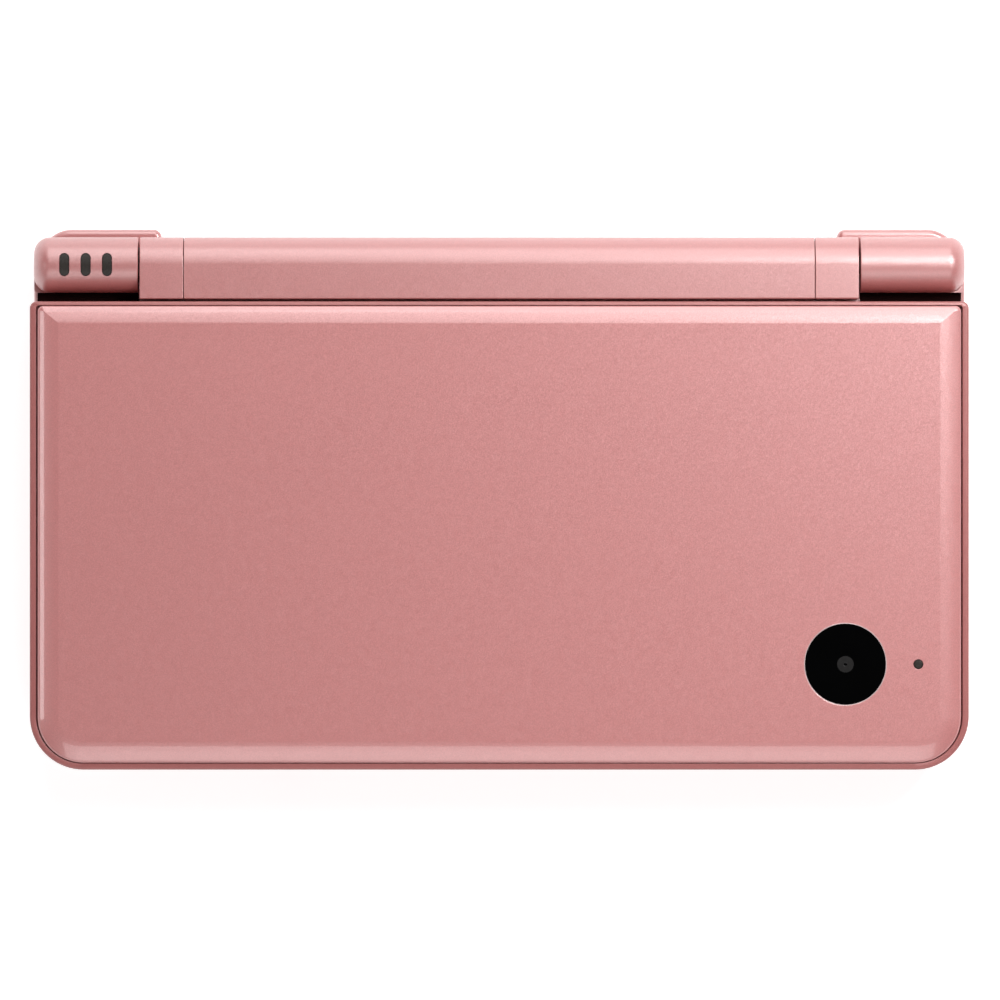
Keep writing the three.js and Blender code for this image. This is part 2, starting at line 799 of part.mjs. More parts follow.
function baseTopShell() {
  let shell = softSlab(baseOutline(0), parting - faceEdge, baseFace, faceEdge).subtract(below(parting));
  shell = shell.subtract(slab(baseOutline(baseWall), parting - overrun, faceUnder));

  const bulk = roller(troughRadius + troughWall, -knuckleInner, knuckleInner, axisY, axisZ);
  const bulkRoom = block(-halfWidth, halfWidth, axisY - 2 * troughRadius, baseBack, pocketTop, baseFace);
  shell = shell.add(bulk.intersect(bulkRoom));
  const channelHalf = stylusRadius + stylusBoreGap + channelWall;
  const channelLeft = baseHalf - stylusLength - channelWall;
  const channelTop = faceUnder + faceSkin / 2;
  const channelRight = baseHalf - baseWall / 2;
  shell = shell.add(
    block(channelLeft, channelRight, stylusY - channelHalf, stylusY + channelHalf, boardUnder, channelTop),
  );

  const troughHalf = knuckleInner + troughWall;
  shell = shell.subtract(roller(troughRadius, -troughHalf, troughHalf, axisY, axisZ));
  shell = shell.subtract(
    block(-troughHalf, troughHalf, axisY, hingeBack + overrun, baseFace - lipDrop, baseFace + overrun),
  );
  shell = shell.add(knuckle(1)).add(knuckle(-1));
  shell = shell.subtract(shoulderPocket(1)).subtract(shoulderPocket(-1));
  shell = shell.subtract(
    roller(stylusRadius + stylusBoreGap, channelLeft + channelWall, baseHalf + overrun, stylusY, stylusZ, keySides),
  );

  const recess = centredOutline(windowWidth, windowDepth, windowRadius, lowerScreenY);
  const opening = centredOutline(
    windowWidth - 2 * windowLedge,
    windowDepth - 2 * windowLedge,
    windowRadius,
    lowerScreenY,
  );
  shell = shell.subtract(slab(recess, baseFace - windowSkin, baseFace + overrun));
  shell = shell.subtract(slab(opening, faceUnder - overrun, baseFace + overrun));

  for (const [x, y] of Object.values(keyPlaces)) {
    shell = shell.subtract(post(keyRadius + movingGap, faceUnder - overrun, baseFace + overrun, x, y));
  }
  for (const [x, y] of Object.values(smallKeyPlaces)) {
    shell = shell.subtract(post(smallKeyRadius + movingGap, faceUnder - overrun, baseFace + overrun, x, y));
  }
  const padHole = padCross(padGap, faceUnder - overrun, baseFace + overrun);
  shell = shell.subtract(padHole.translate([-controlX, controlY, 0]));

  const rockerHalf = rockerLength / 2 + movingGap;
  const rockerHalfHeight = rockerHeight / 2 + movingGap;
  shell = shell.subtract(
    block(
      -baseHalf - overrun,
      -baseHalf + baseWall + snugGap,
      rockerY - rockerHalf,
      rockerY + rockerHalf,
      rockerZ - rockerHalfHeight,
      rockerZ + rockerHalfHeight,
    ),
  );

  const keyBore = pinKeyRadius + snugGap;
  const keyEnd = knuckleInner + pinKeyLength + snugGap;
  shell = shell.subtract(roller(keyBore, knuckleInner - overrun, keyEnd, axisY, axisZ, keySidesHex));
  shell = shell.subtract(roller(tubeRadius + snugGap, tubeLeft - snugGap, -knuckleInner + overrun, axisY, axisZ));
  for (const [, x] of statusPlaces) {
    const hole = statusPrism(snugGap, statusFloor - snugGap, axisZ + 2 * hingeRadius);
    shell = shell.subtract(hole.translate([x, axisY, 0]));
  }
  return shell;
}

piece(base, "base_top_shell", baseTopShell(), roseSatin);

// Status light windows, flush with the round top of the knuckle

for (const [name, x] of statusPlaces) {
  const skin = roller(hingeRadius - statusSink, -statusWidth, statusWidth, 0, axisZ);
  const light = piece(base, name, statusPrism(0, statusFloor, axisZ + hingeRadius).intersect(skin), smokedGlass);
  light.position.set(x, axisY, 0);
}

// Lower shell of the base, with its posts, recesses and wall openings

const cardStop = baseBack - cardDepth;
const hatchFront = baseFront + hatchSetBack;
const hatchDepth = cardStop - socketWall - hatchClearance - hatchFront;
const hatchY = hatchFront + hatchDepth / 2;
const batteryWidth = hatchWidth - 2 * batterySide;
const batteryDepth = hatchDepth - 2 * batteryEnd;
const screwX = hatchWidth / 2 - screwInset;
const doorLength = sdWidth + 2 * doorMargin;
const screwHeadBottom = baseBottom + snugGap;
const doorBottom = floorTop + doorSill + doorGap;
const doorY = axisY - doorSetForward;
const doorPinX = baseHalf - doorPinDepth;
const doorPinZ = doorBottom + doorPinRise;
const sdZ = doorBottom + doorHeight / 2;
const chargerZ = (floorTop + parting) / 2;
const jackZ = chargerZ;
const boardHalf = baseHalf - baseWall - boardMargin;
const boardBack = stylusY - stylusRadius - stylusBoreGap - channelWall - movingGap;
const boardFront = baseFront + baseWall + 2 * boardMargin;
const postPlaces = [-1, 1].flatMap((side) => [
  [side * (hatchWidth / 2 + 2 * boardMargin), boardFront + boardMargin],
  [side * (hatchWidth / 2 + 2 * boardMargin), boardBack - boardMargin],
]);
const footPlaces = {
  foot_front_left: [-baseHalf + footInset, baseFront + footInset],
  foot_front_right: [baseHalf - footInset, baseFront + footInset],
  foot_back_left: [-baseHalf + footInset, axisY - footInset],
  foot_back_right: [baseHalf - footInset, axisY - footInset],
};

function doorPin(radius, reach) {
  return plunger(radius, doorY - doorLength / 2 - reach, doorY + doorLength / 2 + reach, doorPinX, doorPinZ);
}

function baseBottomShell() {
  let shell = softSlab(baseOutline(0), baseBottom, parting + floorEdge, floorEdge).subtract(above(parting));
  shell = shell.subtract(slab(baseOutline(baseWall), floorTop, parting + overrun));
  for (const [x, y] of postPlaces) {
    shell = shell.add(post(postRadius, baseBottom + floorEdge / 2, boardUnder, x, y, smallSides));
  }
  for (const side of [-1, 1]) {
    const boss = post(screwBossRadius, floorTop - snugGap, screwHeadBottom + screwLength, side * screwX, hatchY);
    shell = shell.add(boss);
  }

  const hatch = centredOutline(hatchWidth, hatchDepth, hatchRadius, hatchY);
  shell = shell.subtract(slab(hatch, baseBottom - overrun, baseBottom + hatchSkin));
  const bay = centredOutline(batteryWidth + 2 * movingGap, batteryDepth + 2 * movingGap, movingGap, hatchY);
  shell = shell.subtract(slab(bay, baseBottom - overrun, floorTop + overrun));
  for (const side of [-1, 1]) {
    const reach = screwHeadBottom + screwLength + overrun;
    shell = shell.subtract(post(screwShankRadius + snugGap, baseBottom, reach, side * screwX, hatchY, smallSides));
  }
  for (const [x, y] of Object.values(footPlaces)) {
    shell = shell.subtract(post(footRadius + snugGap, baseBottom - overrun, baseBottom + footRecess, x, y));
  }

  shell = shell.subtract(shoulderPocket(1)).subtract(shoulderPocket(-1));
  shell = shell.subtract(
    block(-cardWidth / 2, cardWidth / 2, baseBack - baseWall - overrun, baseBack + overrun, floorTop, parting + overrun),
  );
  const chargerHalf = chargerWidth / 2;
  shell = shell.subtract(
    block(
      chargerOffset - chargerHalf,
      chargerOffset + chargerHalf,
      baseBack - baseWall - overrun,
      baseBack + overrun,
      chargerZ - chargerHeight / 2,
      chargerZ + chargerHeight / 2,
    ),
  );
  const noseHole = jackRadius + jackNoseWall + snugGap;
  shell = shell.subtract(
    plunger(noseHole, baseFront - overrun, baseFront + baseWall + overrun, -jackOffset, jackZ, keySides),
  );
  shell = shell.subtract(
    block(
      baseHalf - baseWall - overrun,
      baseHalf + overrun,
      doorY - doorLength / 2 - snugGap,
      doorY + doorLength / 2 + snugGap,
      floorTop + doorSill,
      doorBottom + doorHeight + snugGap,
    ),
  );
  return shell.subtract(doorPin(doorPinRadius + snugGap / 2, doorPinLength + snugGap));
}

piece(base, "base_bottom_shell", baseBottomShell(), roseSatin);

// Battery hatch, its two screws, and the battery that lies on it

const hatchPlate = slab(
  centredOutline(hatchWidth - 2 * windowGap, hatchDepth - 2 * windowGap, hatchRadius, hatchY),
  baseBottom,
  baseBottom + hatchSkin,
);
const headRoom = post(screwHeadRadius + snugGap, baseBottom - overrun, screwHeadBottom + screwHeadHeight, 0, hatchY);
const shankRoom = post(screwShankRadius + snugGap, baseBottom, baseBottom + overrun, 0, hatchY, smallSides);
const screwRoom = headRoom.add(shankRoom);
const batteryHatch = hatchPlate
  .subtract(screwRoom.translate([screwX, 0, 0]))
  .subtract(screwRoom.translate([-screwX, 0, 0]));
piece(base, "battery_cover", batteryHatch, roseSatin);

const screwProfile = [
  [0, screwHeadBottom],
  [screwHeadRadius, screwHeadBottom],
  [screwHeadRadius, screwHeadBottom + screwHeadHeight],
  [screwShankRadius, screwHeadBottom + screwHeadHeight],
  [screwShankRadius, screwHeadBottom + screwLength],
  [0, screwHeadBottom + screwLength],
];
for (const [name, side] of [["battery_screw_left", -1], ["battery_screw_right", 1]]) {
  const screw = piece(base, name, turned(screwProfile, smallSides), steel);
  screw.position.set(side * screwX, hatchY, 0);
}

piece(
  base,
  "battery",
  block(
    -batteryWidth / 2,
    batteryWidth / 2,
    hatchY - batteryDepth / 2,
    hatchY + batteryDepth / 2,
    baseBottom + hatchSkin,
    baseBottom + hatchSkin + batteryHeight,
  ),
  batteryGrey,
);

// Feet

for (const [name, [x, y]] of Object.entries(footPlaces)) {
  const foot = piece(base, name, post(footRadius, 0, baseBottom + footRecess, 0, 0), rubberGrey);
  foot.position.set(x, y, 0);
}

// Main board and the rubber mats under the controls

piece(base, "main_board", block(-boardHalf, boardHalf, boardFront, boardBack, boardUnder, boardTop), boardGreen);

const matWidth = controlBay - 2 * matMargin;
const matFront = smallKeyY - smallKeyRadius - matReach;
const matBack = controlY + keyPitch + keyRadius + keyFlange;
for (const [name, side] of [["key_mat_left", -1], ["key_mat_right", 1]]) {
  const mat = block(-matWidth / 2, matWidth / 2, matFront, matBack, boardTop, matTop);
  piece(base, name, mat, rubberGrey).position.x = side * controlX;
}

// Touch window and lower display

piece(base, "touch_window", screenWindow(baseFace - windowSkin, baseFace, lowerScreenY), darkGlass);
piece(base, "lower_display", displayPanel(faceUnder - displayThickness, faceUnder, lowerScreenY), blackPlastic);

// Keys: a cap through the casing, on a flange under it

function keyCap(radius, proud) {
  const flangeTop = faceUnder - snugGap;
  const flangeBottom = flangeTop - keyFlangeHeight;
  const top = baseFace + proud;
  return turned([
    [0, flangeBottom],
    [radius + keyFlange, flangeBottom],
    [radius + keyFlange, flangeTop],
    [radius, flangeTop],
    [radius, top - keyEdge],
    [radius - keyEdge, top],
    [0, top],
  ]);
}

for (const [name, [x, y]] of Object.entries(keyPlaces)) {
  piece(base, name, keyCap(keyRadius, keyProud), roseSatin).position.set(x, y, 0);
}
for (const [name, [x, y]] of Object.entries(smallKeyPlaces)) {
  piece(base, name, keyCap(smallKeyRadius, smallKeyProud), roseSatin).position.set(x, y, 0);
}

// Direction pad on its pivot nub

const padFlangeTop = faceUnder - padFlangeDrop;
const padFlangeBottom = padFlangeTop - padFlangeHeight;
const padTop = baseFace + padProud;
const padCrown = padCross(-padEdge, padTop - padEdge, padTop);
const padBody = padCross(0, padFlangeBottom, padTop - padEdge);
const padFlange = post(padFlangeRadius, padFlangeBottom, padFlangeTop, 0, 0);
const directionPad = piece(base, "direction_pad", padBody.add(padCrown).add(padFlange), roseSatin);
directionPad.position.set(-controlX, controlY, 0);

const nubTop = padFlangeBottom - snugGap;
const nubBottom = matTop + snugGap;
const padNub = piece(base, "direction_pad_pivot", post(nubRadius, nubBottom, nubTop, 0, 0), blackPlastic);
padNub.position.set(-controlX, controlY, 0);

// Shoulder buttons, each on a pin near its inner end

const shoulderOuterX = baseHalf - shoulderSideInset;
const shoulderPinX = shoulderInnerX + shoulderPinInset;

function shoulderButton() {
  const outline = new THREE.Shape();
  const front = axisY - shoulderFrontReach;
  const bendX = shoulderOuterX - shoulderBend;
  const bendY = shoulderBack - shoulderBendDepth;
  outline.moveTo(shoulderInnerX, front);
  outline.lineTo(shoulderOuterX, front);
  outline.lineTo(shoulderOuterX, bendY);
  outline.quadraticCurveTo(shoulderOuterX, shoulderBack, bendX, shoulderBack);
  outline.lineTo(shoulderInnerX + shoulderInnerRadius, shoulderBack);
  outline.absarc(
    shoulderInnerX + shoulderInnerRadius,
    shoulderBack - shoulderInnerRadius,
    shoulderInnerRadius,
    quarter,
    2 * quarter,
  );
  outline.closePath();
  const body = slab(outline, floorTop + movingGap, pocketTop - movingGap);
  return body.subtract(post(shoulderPinRadius + snugGap, floorTop, pocketTop, shoulderPinX, axisY, smallSides));
}

const shoulderSolid = shoulderButton();
piece(base, "shoulder_button_right", shoulderSolid, roseSatin);
piece(base, "shoulder_button_left", shoulderSolid.mirror([1, 0, 0]), roseSatin);
for (const [name, side] of [["shoulder_pin_left", -1], ["shoulder_pin_right", 1]]) {
  const pin = piece(base, name, post(shoulderPinRadius, floorTop, pocketTop, 0, 0, smallSides), steel);
  pin.position.set(side * shoulderPinX, axisY, 0);
}

// Volume rocker in the left wall, held in by its flange

const flangeOuter = -baseHalf + baseWall + rockerFlangeGap;
const rockerBar = block(
  -baseHalf - rockerProud,
  flangeOuter + rockerFlangeThickness,
  rockerY - rockerLength / 2,
  rockerY + rockerLength / 2,
  rockerZ - rockerHeight / 2,
  rockerZ + rockerHeight / 2,
);
const rockerPlate = block(
  flangeOuter,
  flangeOuter + rockerFlangeThickness,
  rockerY - rockerLength / 2 - rockerFlange,
  rockerY + rockerLength / 2 + rockerFlange,
  rockerZ - rockerHeight / 2 - snugGap,
  rockerZ + rockerHeight / 2 + snugGap,
);
piece(base, "volume_rocker", rockerBar.add(rockerPlate), roseSatin);

// Game card socket behind the slot in the back wall

const socketBack = baseBack - baseWall - snugGap;
const socketHalf = cardWidth / 2 + socketWall;
const socketBody = block(
  -socketHalf,
  socketHalf,
  cardStop - socketWall,
  socketBack,
  floorTop,
  floorTop + cardHeight + socketSkin,
);
const cardRoom = block(
  -cardWidth / 2,
  cardWidth / 2,
  cardStop,
  socketBack + overrun,
  floorTop - overrun,
  floorTop + cardHeight,
);
piece(base, "card_socket", socketBody.subtract(cardRoom), blackPlastic);

// Memory card socket and its small hinged door in the right wall

const sdSocketRight = baseHalf - baseWall - snugGap;
const sdHalf = doorLength / 2 - snugGap;
const sdBody = block(
  sdSocketRight - sdDepth,
  sdSocketRight,
  doorY - sdHalf,
  doorY + sdHalf,
  floorTop,
  boardUnder - snugGap,
);
const sdRoom = block(
  sdSocketRight - sdDepth + socketWall,
  sdSocketRight + overrun,
  doorY - sdWidth / 2,
  doorY + sdWidth / 2,
  sdZ - sdHeight / 2,
  sdZ + sdHeight / 2,
);
piece(base, "sd_socket", sdBody.subtract(sdRoom), blackPlastic);

const doorPlate = block(
  baseHalf - doorThickness,
  baseHalf,
  doorY - doorLength / 2,
  doorY + doorLength / 2,
  doorBottom,
  doorBottom + doorHeight,
);
piece(base, "sd_cover", doorPlate.add(doorPin(doorPinRadius, doorPinLength)), roseSatin);

// Charging inlet in the back wall

const chargerHalfWidth = chargerWidth / 2 + chargerWall;
const chargerFront = socketBack - chargerDepth;
const chargerBody = block(
  chargerOffset - chargerHalfWidth,
  chargerOffset + chargerHalfWidth,
  chargerFront,
  socketBack,
  floorTop,
  chargerZ + chargerHeight / 2 + chargerWall / 2,
);
const chargerRoom = block(
  chargerOffset - chargerWidth / 2 + snugGap,
  chargerOffset + chargerWidth / 2 - snugGap,
  chargerFront + chargerWall,
  socketBack + overrun,
  chargerZ - chargerHeight / 2 + snugGap,
  chargerZ + chargerHeight / 2 - snugGap,
);
const chargerBlade = block(
  chargerOffset - bladeWidth / 2,
  chargerOffset + bladeWidth / 2,
  chargerFront,
  socketBack - chargerWall,
  chargerZ - bladeHeight / 2,
  chargerZ + bladeHeight / 2,
);
piece(base, "charging_port", chargerBody.subtract(chargerRoom).add(chargerBlade), blackPlastic);

// Headphone jack in the front wall

const jackBody = block(
  -jackOffset - jackWidth / 2,
  -jackOffset + jackWidth / 2,
  baseFront + baseWall + snugGap,
  baseFront + baseWall + snugGap + jackDepth,
  floorTop,
  boardUnder - snugGap,
);
const jackNose = plunger(jackRadius + jackNoseWall, baseFront, baseFront + 2 * baseWall, -jackOffset, jackZ, keySides);
const jackBore = plunger(jackRadius, baseFront - overrun, baseFront + jackDepth, -jackOffset, jackZ, keySides);
piece(base, "audio_jack", jackBody.add(jackNose).subtract(jackBore), blackPlastic);

// Stylus, pushed home with its head level with the wall

const stylusEnd = baseHalf - stylusLength;
const stylusProfile = [
  [0, stylusEnd],
  [stylusTipRadius, stylusEnd],
  [stylusRadius, stylusEnd + stylusTipLength],
  [stylusRadius, baseHalf - stylusHeadLength],
  [stylusRadius - stylusNeckCut, baseHalf - stylusHeadLength + stylusNeckCut],
  [stylusRadius - stylusNeckCut, baseHalf - stylusHeadLength + 2 * stylusNeckCut],
  [stylusRadius, baseHalf - stylusHeadLength + 3 * stylusNeckCut],
  [stylusRadius, baseHalf - stylusNeckCut],
  [stylusRadius - stylusNeckCut, baseHalf],
  [0, baseHalf],
];
piece(base, "stylus", turnedAlongX(stylusProfile, stylusY, stylusZ, keySides), blackPlastic);

export default handheld;
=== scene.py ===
import math
import bmesh
import bpy
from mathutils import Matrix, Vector


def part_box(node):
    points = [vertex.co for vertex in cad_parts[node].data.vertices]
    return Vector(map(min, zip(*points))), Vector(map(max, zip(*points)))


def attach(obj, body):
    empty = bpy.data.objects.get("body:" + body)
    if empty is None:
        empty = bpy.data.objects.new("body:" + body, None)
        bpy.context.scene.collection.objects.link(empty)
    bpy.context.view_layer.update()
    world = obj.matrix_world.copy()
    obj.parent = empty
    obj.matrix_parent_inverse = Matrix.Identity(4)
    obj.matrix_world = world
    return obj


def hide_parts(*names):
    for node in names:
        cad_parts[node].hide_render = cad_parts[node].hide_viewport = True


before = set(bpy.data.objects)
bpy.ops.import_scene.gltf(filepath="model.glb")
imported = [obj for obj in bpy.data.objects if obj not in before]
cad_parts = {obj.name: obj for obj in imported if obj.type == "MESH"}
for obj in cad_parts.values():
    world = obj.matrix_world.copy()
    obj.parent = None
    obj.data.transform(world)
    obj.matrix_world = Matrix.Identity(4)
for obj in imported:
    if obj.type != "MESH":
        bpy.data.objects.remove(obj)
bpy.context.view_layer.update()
print("frame loaded")

scene = bpy.context.scene
mm = 0.001  # every size below is in millimetres
quarterTurn = math.pi / 2
past = 1  # how far a cutter reaches past the face that it cuts
chamfer = 0.15  # soft edge of recesses and holes
weldBuilt, weldFinished = 0.0005, 0.0004  # points nearer than this become one
sharpCorner, closedRing = 0.01, 0.004  # least radius of a plate's corner and of a turned body's end


# measuring off the frame

def nodeBox(name):
    low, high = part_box(name)
    return low / mm, high / mm


def nodeMiddle(name):
    return [(near + far) / 2 for near, far in zip(*nodeBox(name))]


coverLow, coverHigh = nodeBox("lid_cover")
collarLow, collarHigh = nodeBox("barrel_collar_left")
touchLow, touchHigh = nodeBox("touch_window")
upperLow, upperHigh = nodeBox("upper_window")
shellLow, shellHigh = nodeBox("base_bottom_shell")
axisZ = (collarLow.z + collarHigh.z) / 2
barrelRadius = (collarHigh.z - collarLow.z) / 2
axisY = collarHigh.y - barrelRadius
axis = (0, axisY, axisZ)
faceZ = touchHigh.z  # inner face of the base
lidFaceZ = upperLow.z  # inner face of the lid
partingZ = shellHigh.z


# mesh helpers

def linked(name, data):
    obj = bpy.data.objects.new(name, data)
    scene.collection.objects.link(obj)
    return obj


def meshObject(name, points, faces):
    mesh = bpy.data.meshes.new(name)
    mesh.from_pydata([Vector(point) * mm for point in points], [], faces)
    cleaner = bmesh.new()
    cleaner.from_mesh(mesh)
    bmesh.ops.remove_doubles(cleaner, verts=cleaner.verts, dist=weldBuilt * mm)
    bmesh.ops.recalc_face_normals(cleaner, faces=cleaner.faces)
    cleaner.to_mesh(mesh)
    cleaner.free()
    return linked(name, mesh)


def arcPoints(centreX, centreY, radius, start, end, steps):
    points = []
    for step in range(steps + 1):
        angle = start + (end - start) * step / steps
        points.append((centreX + radius * math.cos(angle), centreY + radius * math.sin(angle)))
    return points


# outline of a rounded rectangle seen from above, as (x, y) pairs
def plateOutline(left, right, front, back, frontRadius, backRadius, steps=14):
    first, last = max(frontRadius, sharpCorner), max(backRadius, sharpCorner)
    outline = []
    for quarter, (x, y, radius) in enumerate((
        (right - first, front + first, first), (right - last, back - last, last),
        (left + last, back - last, last), (left + first, front + first, first),
    )):
        outline += arcPoints(x, y, radius, (quarter - 1) * quarterTurn, quarter * quarterTurn, steps)
    return outline


# skin over a stack of rings with the same number of points, capped at both ends
def skinned(name, rings):
    count = len(rings[0])
    points = [point for ring in rings for point in ring]
    faces = []
    for level in range(len(rings) - 1):
        for index in range(count):
            following = (index + 1) % count
            lower, upper = level * count, (level + 1) * count
            faces.append((lower + index, lower + following, upper + following, upper + index))
    faces.append(tuple(reversed(range(count))))
    faces.append(tuple(range((len(rings) - 1) * count, len(rings) * count)))
    return meshObject(name, points, faces)


# a plate whose edge follows a profile of (inset, height) pairs; sizes = left, right, front, back, radii
def profiledPlate(name, sizes, profile, steps=14, backShare=1):
    left, right, front, back, frontRadius, backRadius = sizes
    rings = []
    for inset, height in profile:
        outline = plateOutline(
            left + inset, right - inset, front + inset, back - inset * backShare,
            frontRadius - inset, backRadius - inset * backShare, steps,
        )
        rings.append([(x, y, height) for x, y in outline])
    return skinned(name, rings)


def quarterAngles(steps):
    return [quarterTurn * step / steps for step in range(steps + 1)]


# quarter-round run of (inset, height) pairs from a wall up onto a face, or from a face up a wall
def roundedEdge(radius, top, steps=6):
    return [(radius * (1 - math.cos(a)), top - radius + radius * math.sin(a)) for a in quarterAngles(steps)]


def roundedFoot(radius, bottom, steps=6):
    return [(radius * (1 - math.sin(a)), bottom + radius * (1 - math.cos(a))) for a in quarterAngles(steps)]


# such a run as (radius, height) pairs on a round piece
def onRound(radius, run):
    return [(radius - inset, height) for inset, height in run]


def centredSizes(width, depth, centreX, centreY, radius):
    return (
        centreX - width / 2, centreX + width / 2, centreY - depth / 2, centreY + depth / 2, radius, radius,
    )


def blockMesh(name, left, right, front, back, low, high):
    return profiledPlate(name, (left, right, front, back, 0, 0), [(0, low), (0, high)], 1)


# body turned about a line; profile = (radius, distance along the line) pairs
def turnedBody(name, profile, origin, direction="Z", sides=48):
    rings = []
    for radius, along in profile:
        ring = []
        for x, y in arcPoints(0, 0, max(radius, closedRing), 0, 4 * quarterTurn, sides)[:-1]:
            offset = dict(Z=(x, y, along), X=(along, x, y), Y=(y, along, x))[direction]
            ring.append([start + reach for start, reach in zip(origin, offset)])
        rings.append(ring)
    return skinned(name, rings)


def roundBar(name, radius, start, end, origin, direction="Z", sides=48):
    return turnedBody(name, [(radius, start), (radius, end)], origin, direction, sides)


# cutter for a round hole with a soft edge, upwards from the face at its origin
def softHole(name, radius, depth, origin, sides=48, further=()):
    profile = [(radius + chamfer, -past), (radius + chamfer, 0), (radius, chamfer), (radius, depth)]
    return turnedBody(name, profile + list(further), origin, sides=sides)


# cutter for a round hole downwards from the face at its top, opening in a small flare
def flaredCutter(name, radius, flare, top, low, x, y, sides=64, bendShare=0.3):
    profile = [
        (radius, low), (radius, top - flare), (radius + flare * bendShare, top - flare * bendShare),
        (radius + flare, top), (radius + flare, top + past),
    ]
    return turnedBody(name, profile, (x, y, 0), sides=sides)


# cutter for a recess with a soft edge; depth is negative for a face that looks up
def recessCutter(name, sizes, face, depth):
    way = 1 if depth > 0 else -1
    profile = [(-chamfer, face - way * past), (-chamfer, face), (0, face + way * chamfer), (0, face + depth)]
    return profiledPlate(name, sizes, profile, 8)


# bar along X with a section of (y, z) pairs
def sectionBar(name, section, left, right):
    return skinned(name, [[(x, y, z) for y, z in section] for x in (left, right)])


def joined(name, objects):
    builder = bmesh.new()
    for obj in objects:
        builder.from_mesh(obj.data)
    mesh = bpy.data.meshes.new(name)
    builder.to_mesh(mesh)
    builder.free()
    for obj in objects:
        bpy.data.objects.remove(obj)
    return linked(name, mesh)


def settle(obj):
    view = bpy.context.evaluated_depsgraph_get()
    mesh = bpy.data.meshes.new_from_object(obj.evaluated_get(view))
    obj.modifiers.clear()
    obj.data = mesh


# cut the tools out of a piece, or add them to it; the tools are used up
def combine(obj, operation, *tools):
    for tool in tools:
        step = obj.modifiers.new("combine", "BOOLEAN")
        step.operation = operation
        step.solver = "EXACT"
        step.object = tool
        bpy.context.view_layer.update()
        settle(obj)
        bpy.data.objects.remove(tool)
    return obj


def cutOut(obj, *tools):
    return combine(obj, "DIFFERENCE", *tools)


def addTo(obj, *tools):
    return combine(obj, "UNION", *tools)


def softenShading(obj, sharpAngle=34):
    shaper = bmesh.new()
    shaper.from_mesh(obj.data)
    bmesh.ops.remove_doubles(shaper, verts=shaper.verts, dist=weldFinished * mm)
    bmesh.ops.dissolve_degenerate(shaper, dist=weldFinished * mm, edges=shaper.edges)
    for face in shaper.faces:
        face.smooth = True
    for edge in shaper.edges:
        edge.smooth = len(edge.link_faces) == 2 and edge.calc_face_angle(0) < math.radians(sharpAngle)
    shaper.to_mesh(obj.data)
    shaper.free()
    weighting = obj.modifiers.new("weighted normals", "WEIGHTED_NORMAL")
    weighting.keep_sharp = True
    weighting.weight = 100


def addBevel(obj, width, segments=2, angle=40):
    step = obj.modifiers.new("soft edges", "BEVEL")
    step.width = width * mm
    step.segments = segments
    step.limit_method = "ANGLE"
    step.angle_limit = math.radians(angle)


def bevelEdges(obj, width, segments=2):
    addBevel(obj, width, segments)
    settle(obj)


def setFinish(obj, material):
    obj.data.materials.clear()
    obj.data.materials.append(material)


# last step of a new piece: finish, soft shading, body and the node that it stands for
def place(obj, material, slotName, body, *standsFor):
    setFinish(obj, material)
    softenShading(obj)
    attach(obj, body)
    if standsFor:
        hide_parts(*standsFor)


# finishes

def setInputs(node, values):
    for socket, value in values.items():
        node.inputs[socket].default_value = value


# a new node with its links from other sockets, its values and its settings
def newNode(tree, kind, links=None, values=None, **settings):
    node = tree.nodes.new("ShaderNode" + kind)
    for setting, value in settings.items():
        setattr(node, setting, value)
    setInputs(node, values or {})
    for socket, source in (links or {}).items():
        tree.links.new(source, node.inputs[socket])
    return node.outputs


def newFinish(name):
    material = bpy.data.materials.new(name)
    material.use_nodes = True
    tree = material.node_tree
    return material, tree, tree.nodes["Principled BSDF"]


def mapRange(tree, source, low, high, fromLow=0.0, fromHigh=1.0):
    ends = {"From Min": fromLow, "From Max": fromHigh, "To Min": low, "To Max": high}
    return newNode(tree, "MapRange", {"Value": source}, ends)["Result"]


def mathStep(tree, operation, first, second):
    return newNode(tree, "Math", {0: first, 1: second}, operation=operation)["Value"]


def noiseField(tree, spot, scale, detail=3.0):
    return newNode(tree, "TexNoise", {"Vector": spot}, {"Scale": scale, "Detail": detail})["Fac"]


noiseSpan = (0.3, 0.7)  # nearly all of a noise field lies between these


# the look's colour, made lighter and darker by a field round 1
def shaded(tree, colour, field, shader):
    inks = {"Factor": 1.0, "A": (*colour, 1)}
    mix = newNode(tree, "Mix", {"B": field}, inks, data_type="RGBA", blend_type="MULTIPLY")
    tree.links.new(mix["Result"], shader.inputs["Base Color"])


def setGloss(shader, look):
    for socket, key, plain in (
        ("Metallic", "metallic", 0.0), ("IOR", "ior", 1.5), ("Specular IOR Level", "gloss", 0.5),
        ("Coat Weight", "coat", 0.0), ("Coat Roughness", "coatRoughness", 0.05),
    ):
        shader.inputs[socket].default_value = look.get(key, plain)


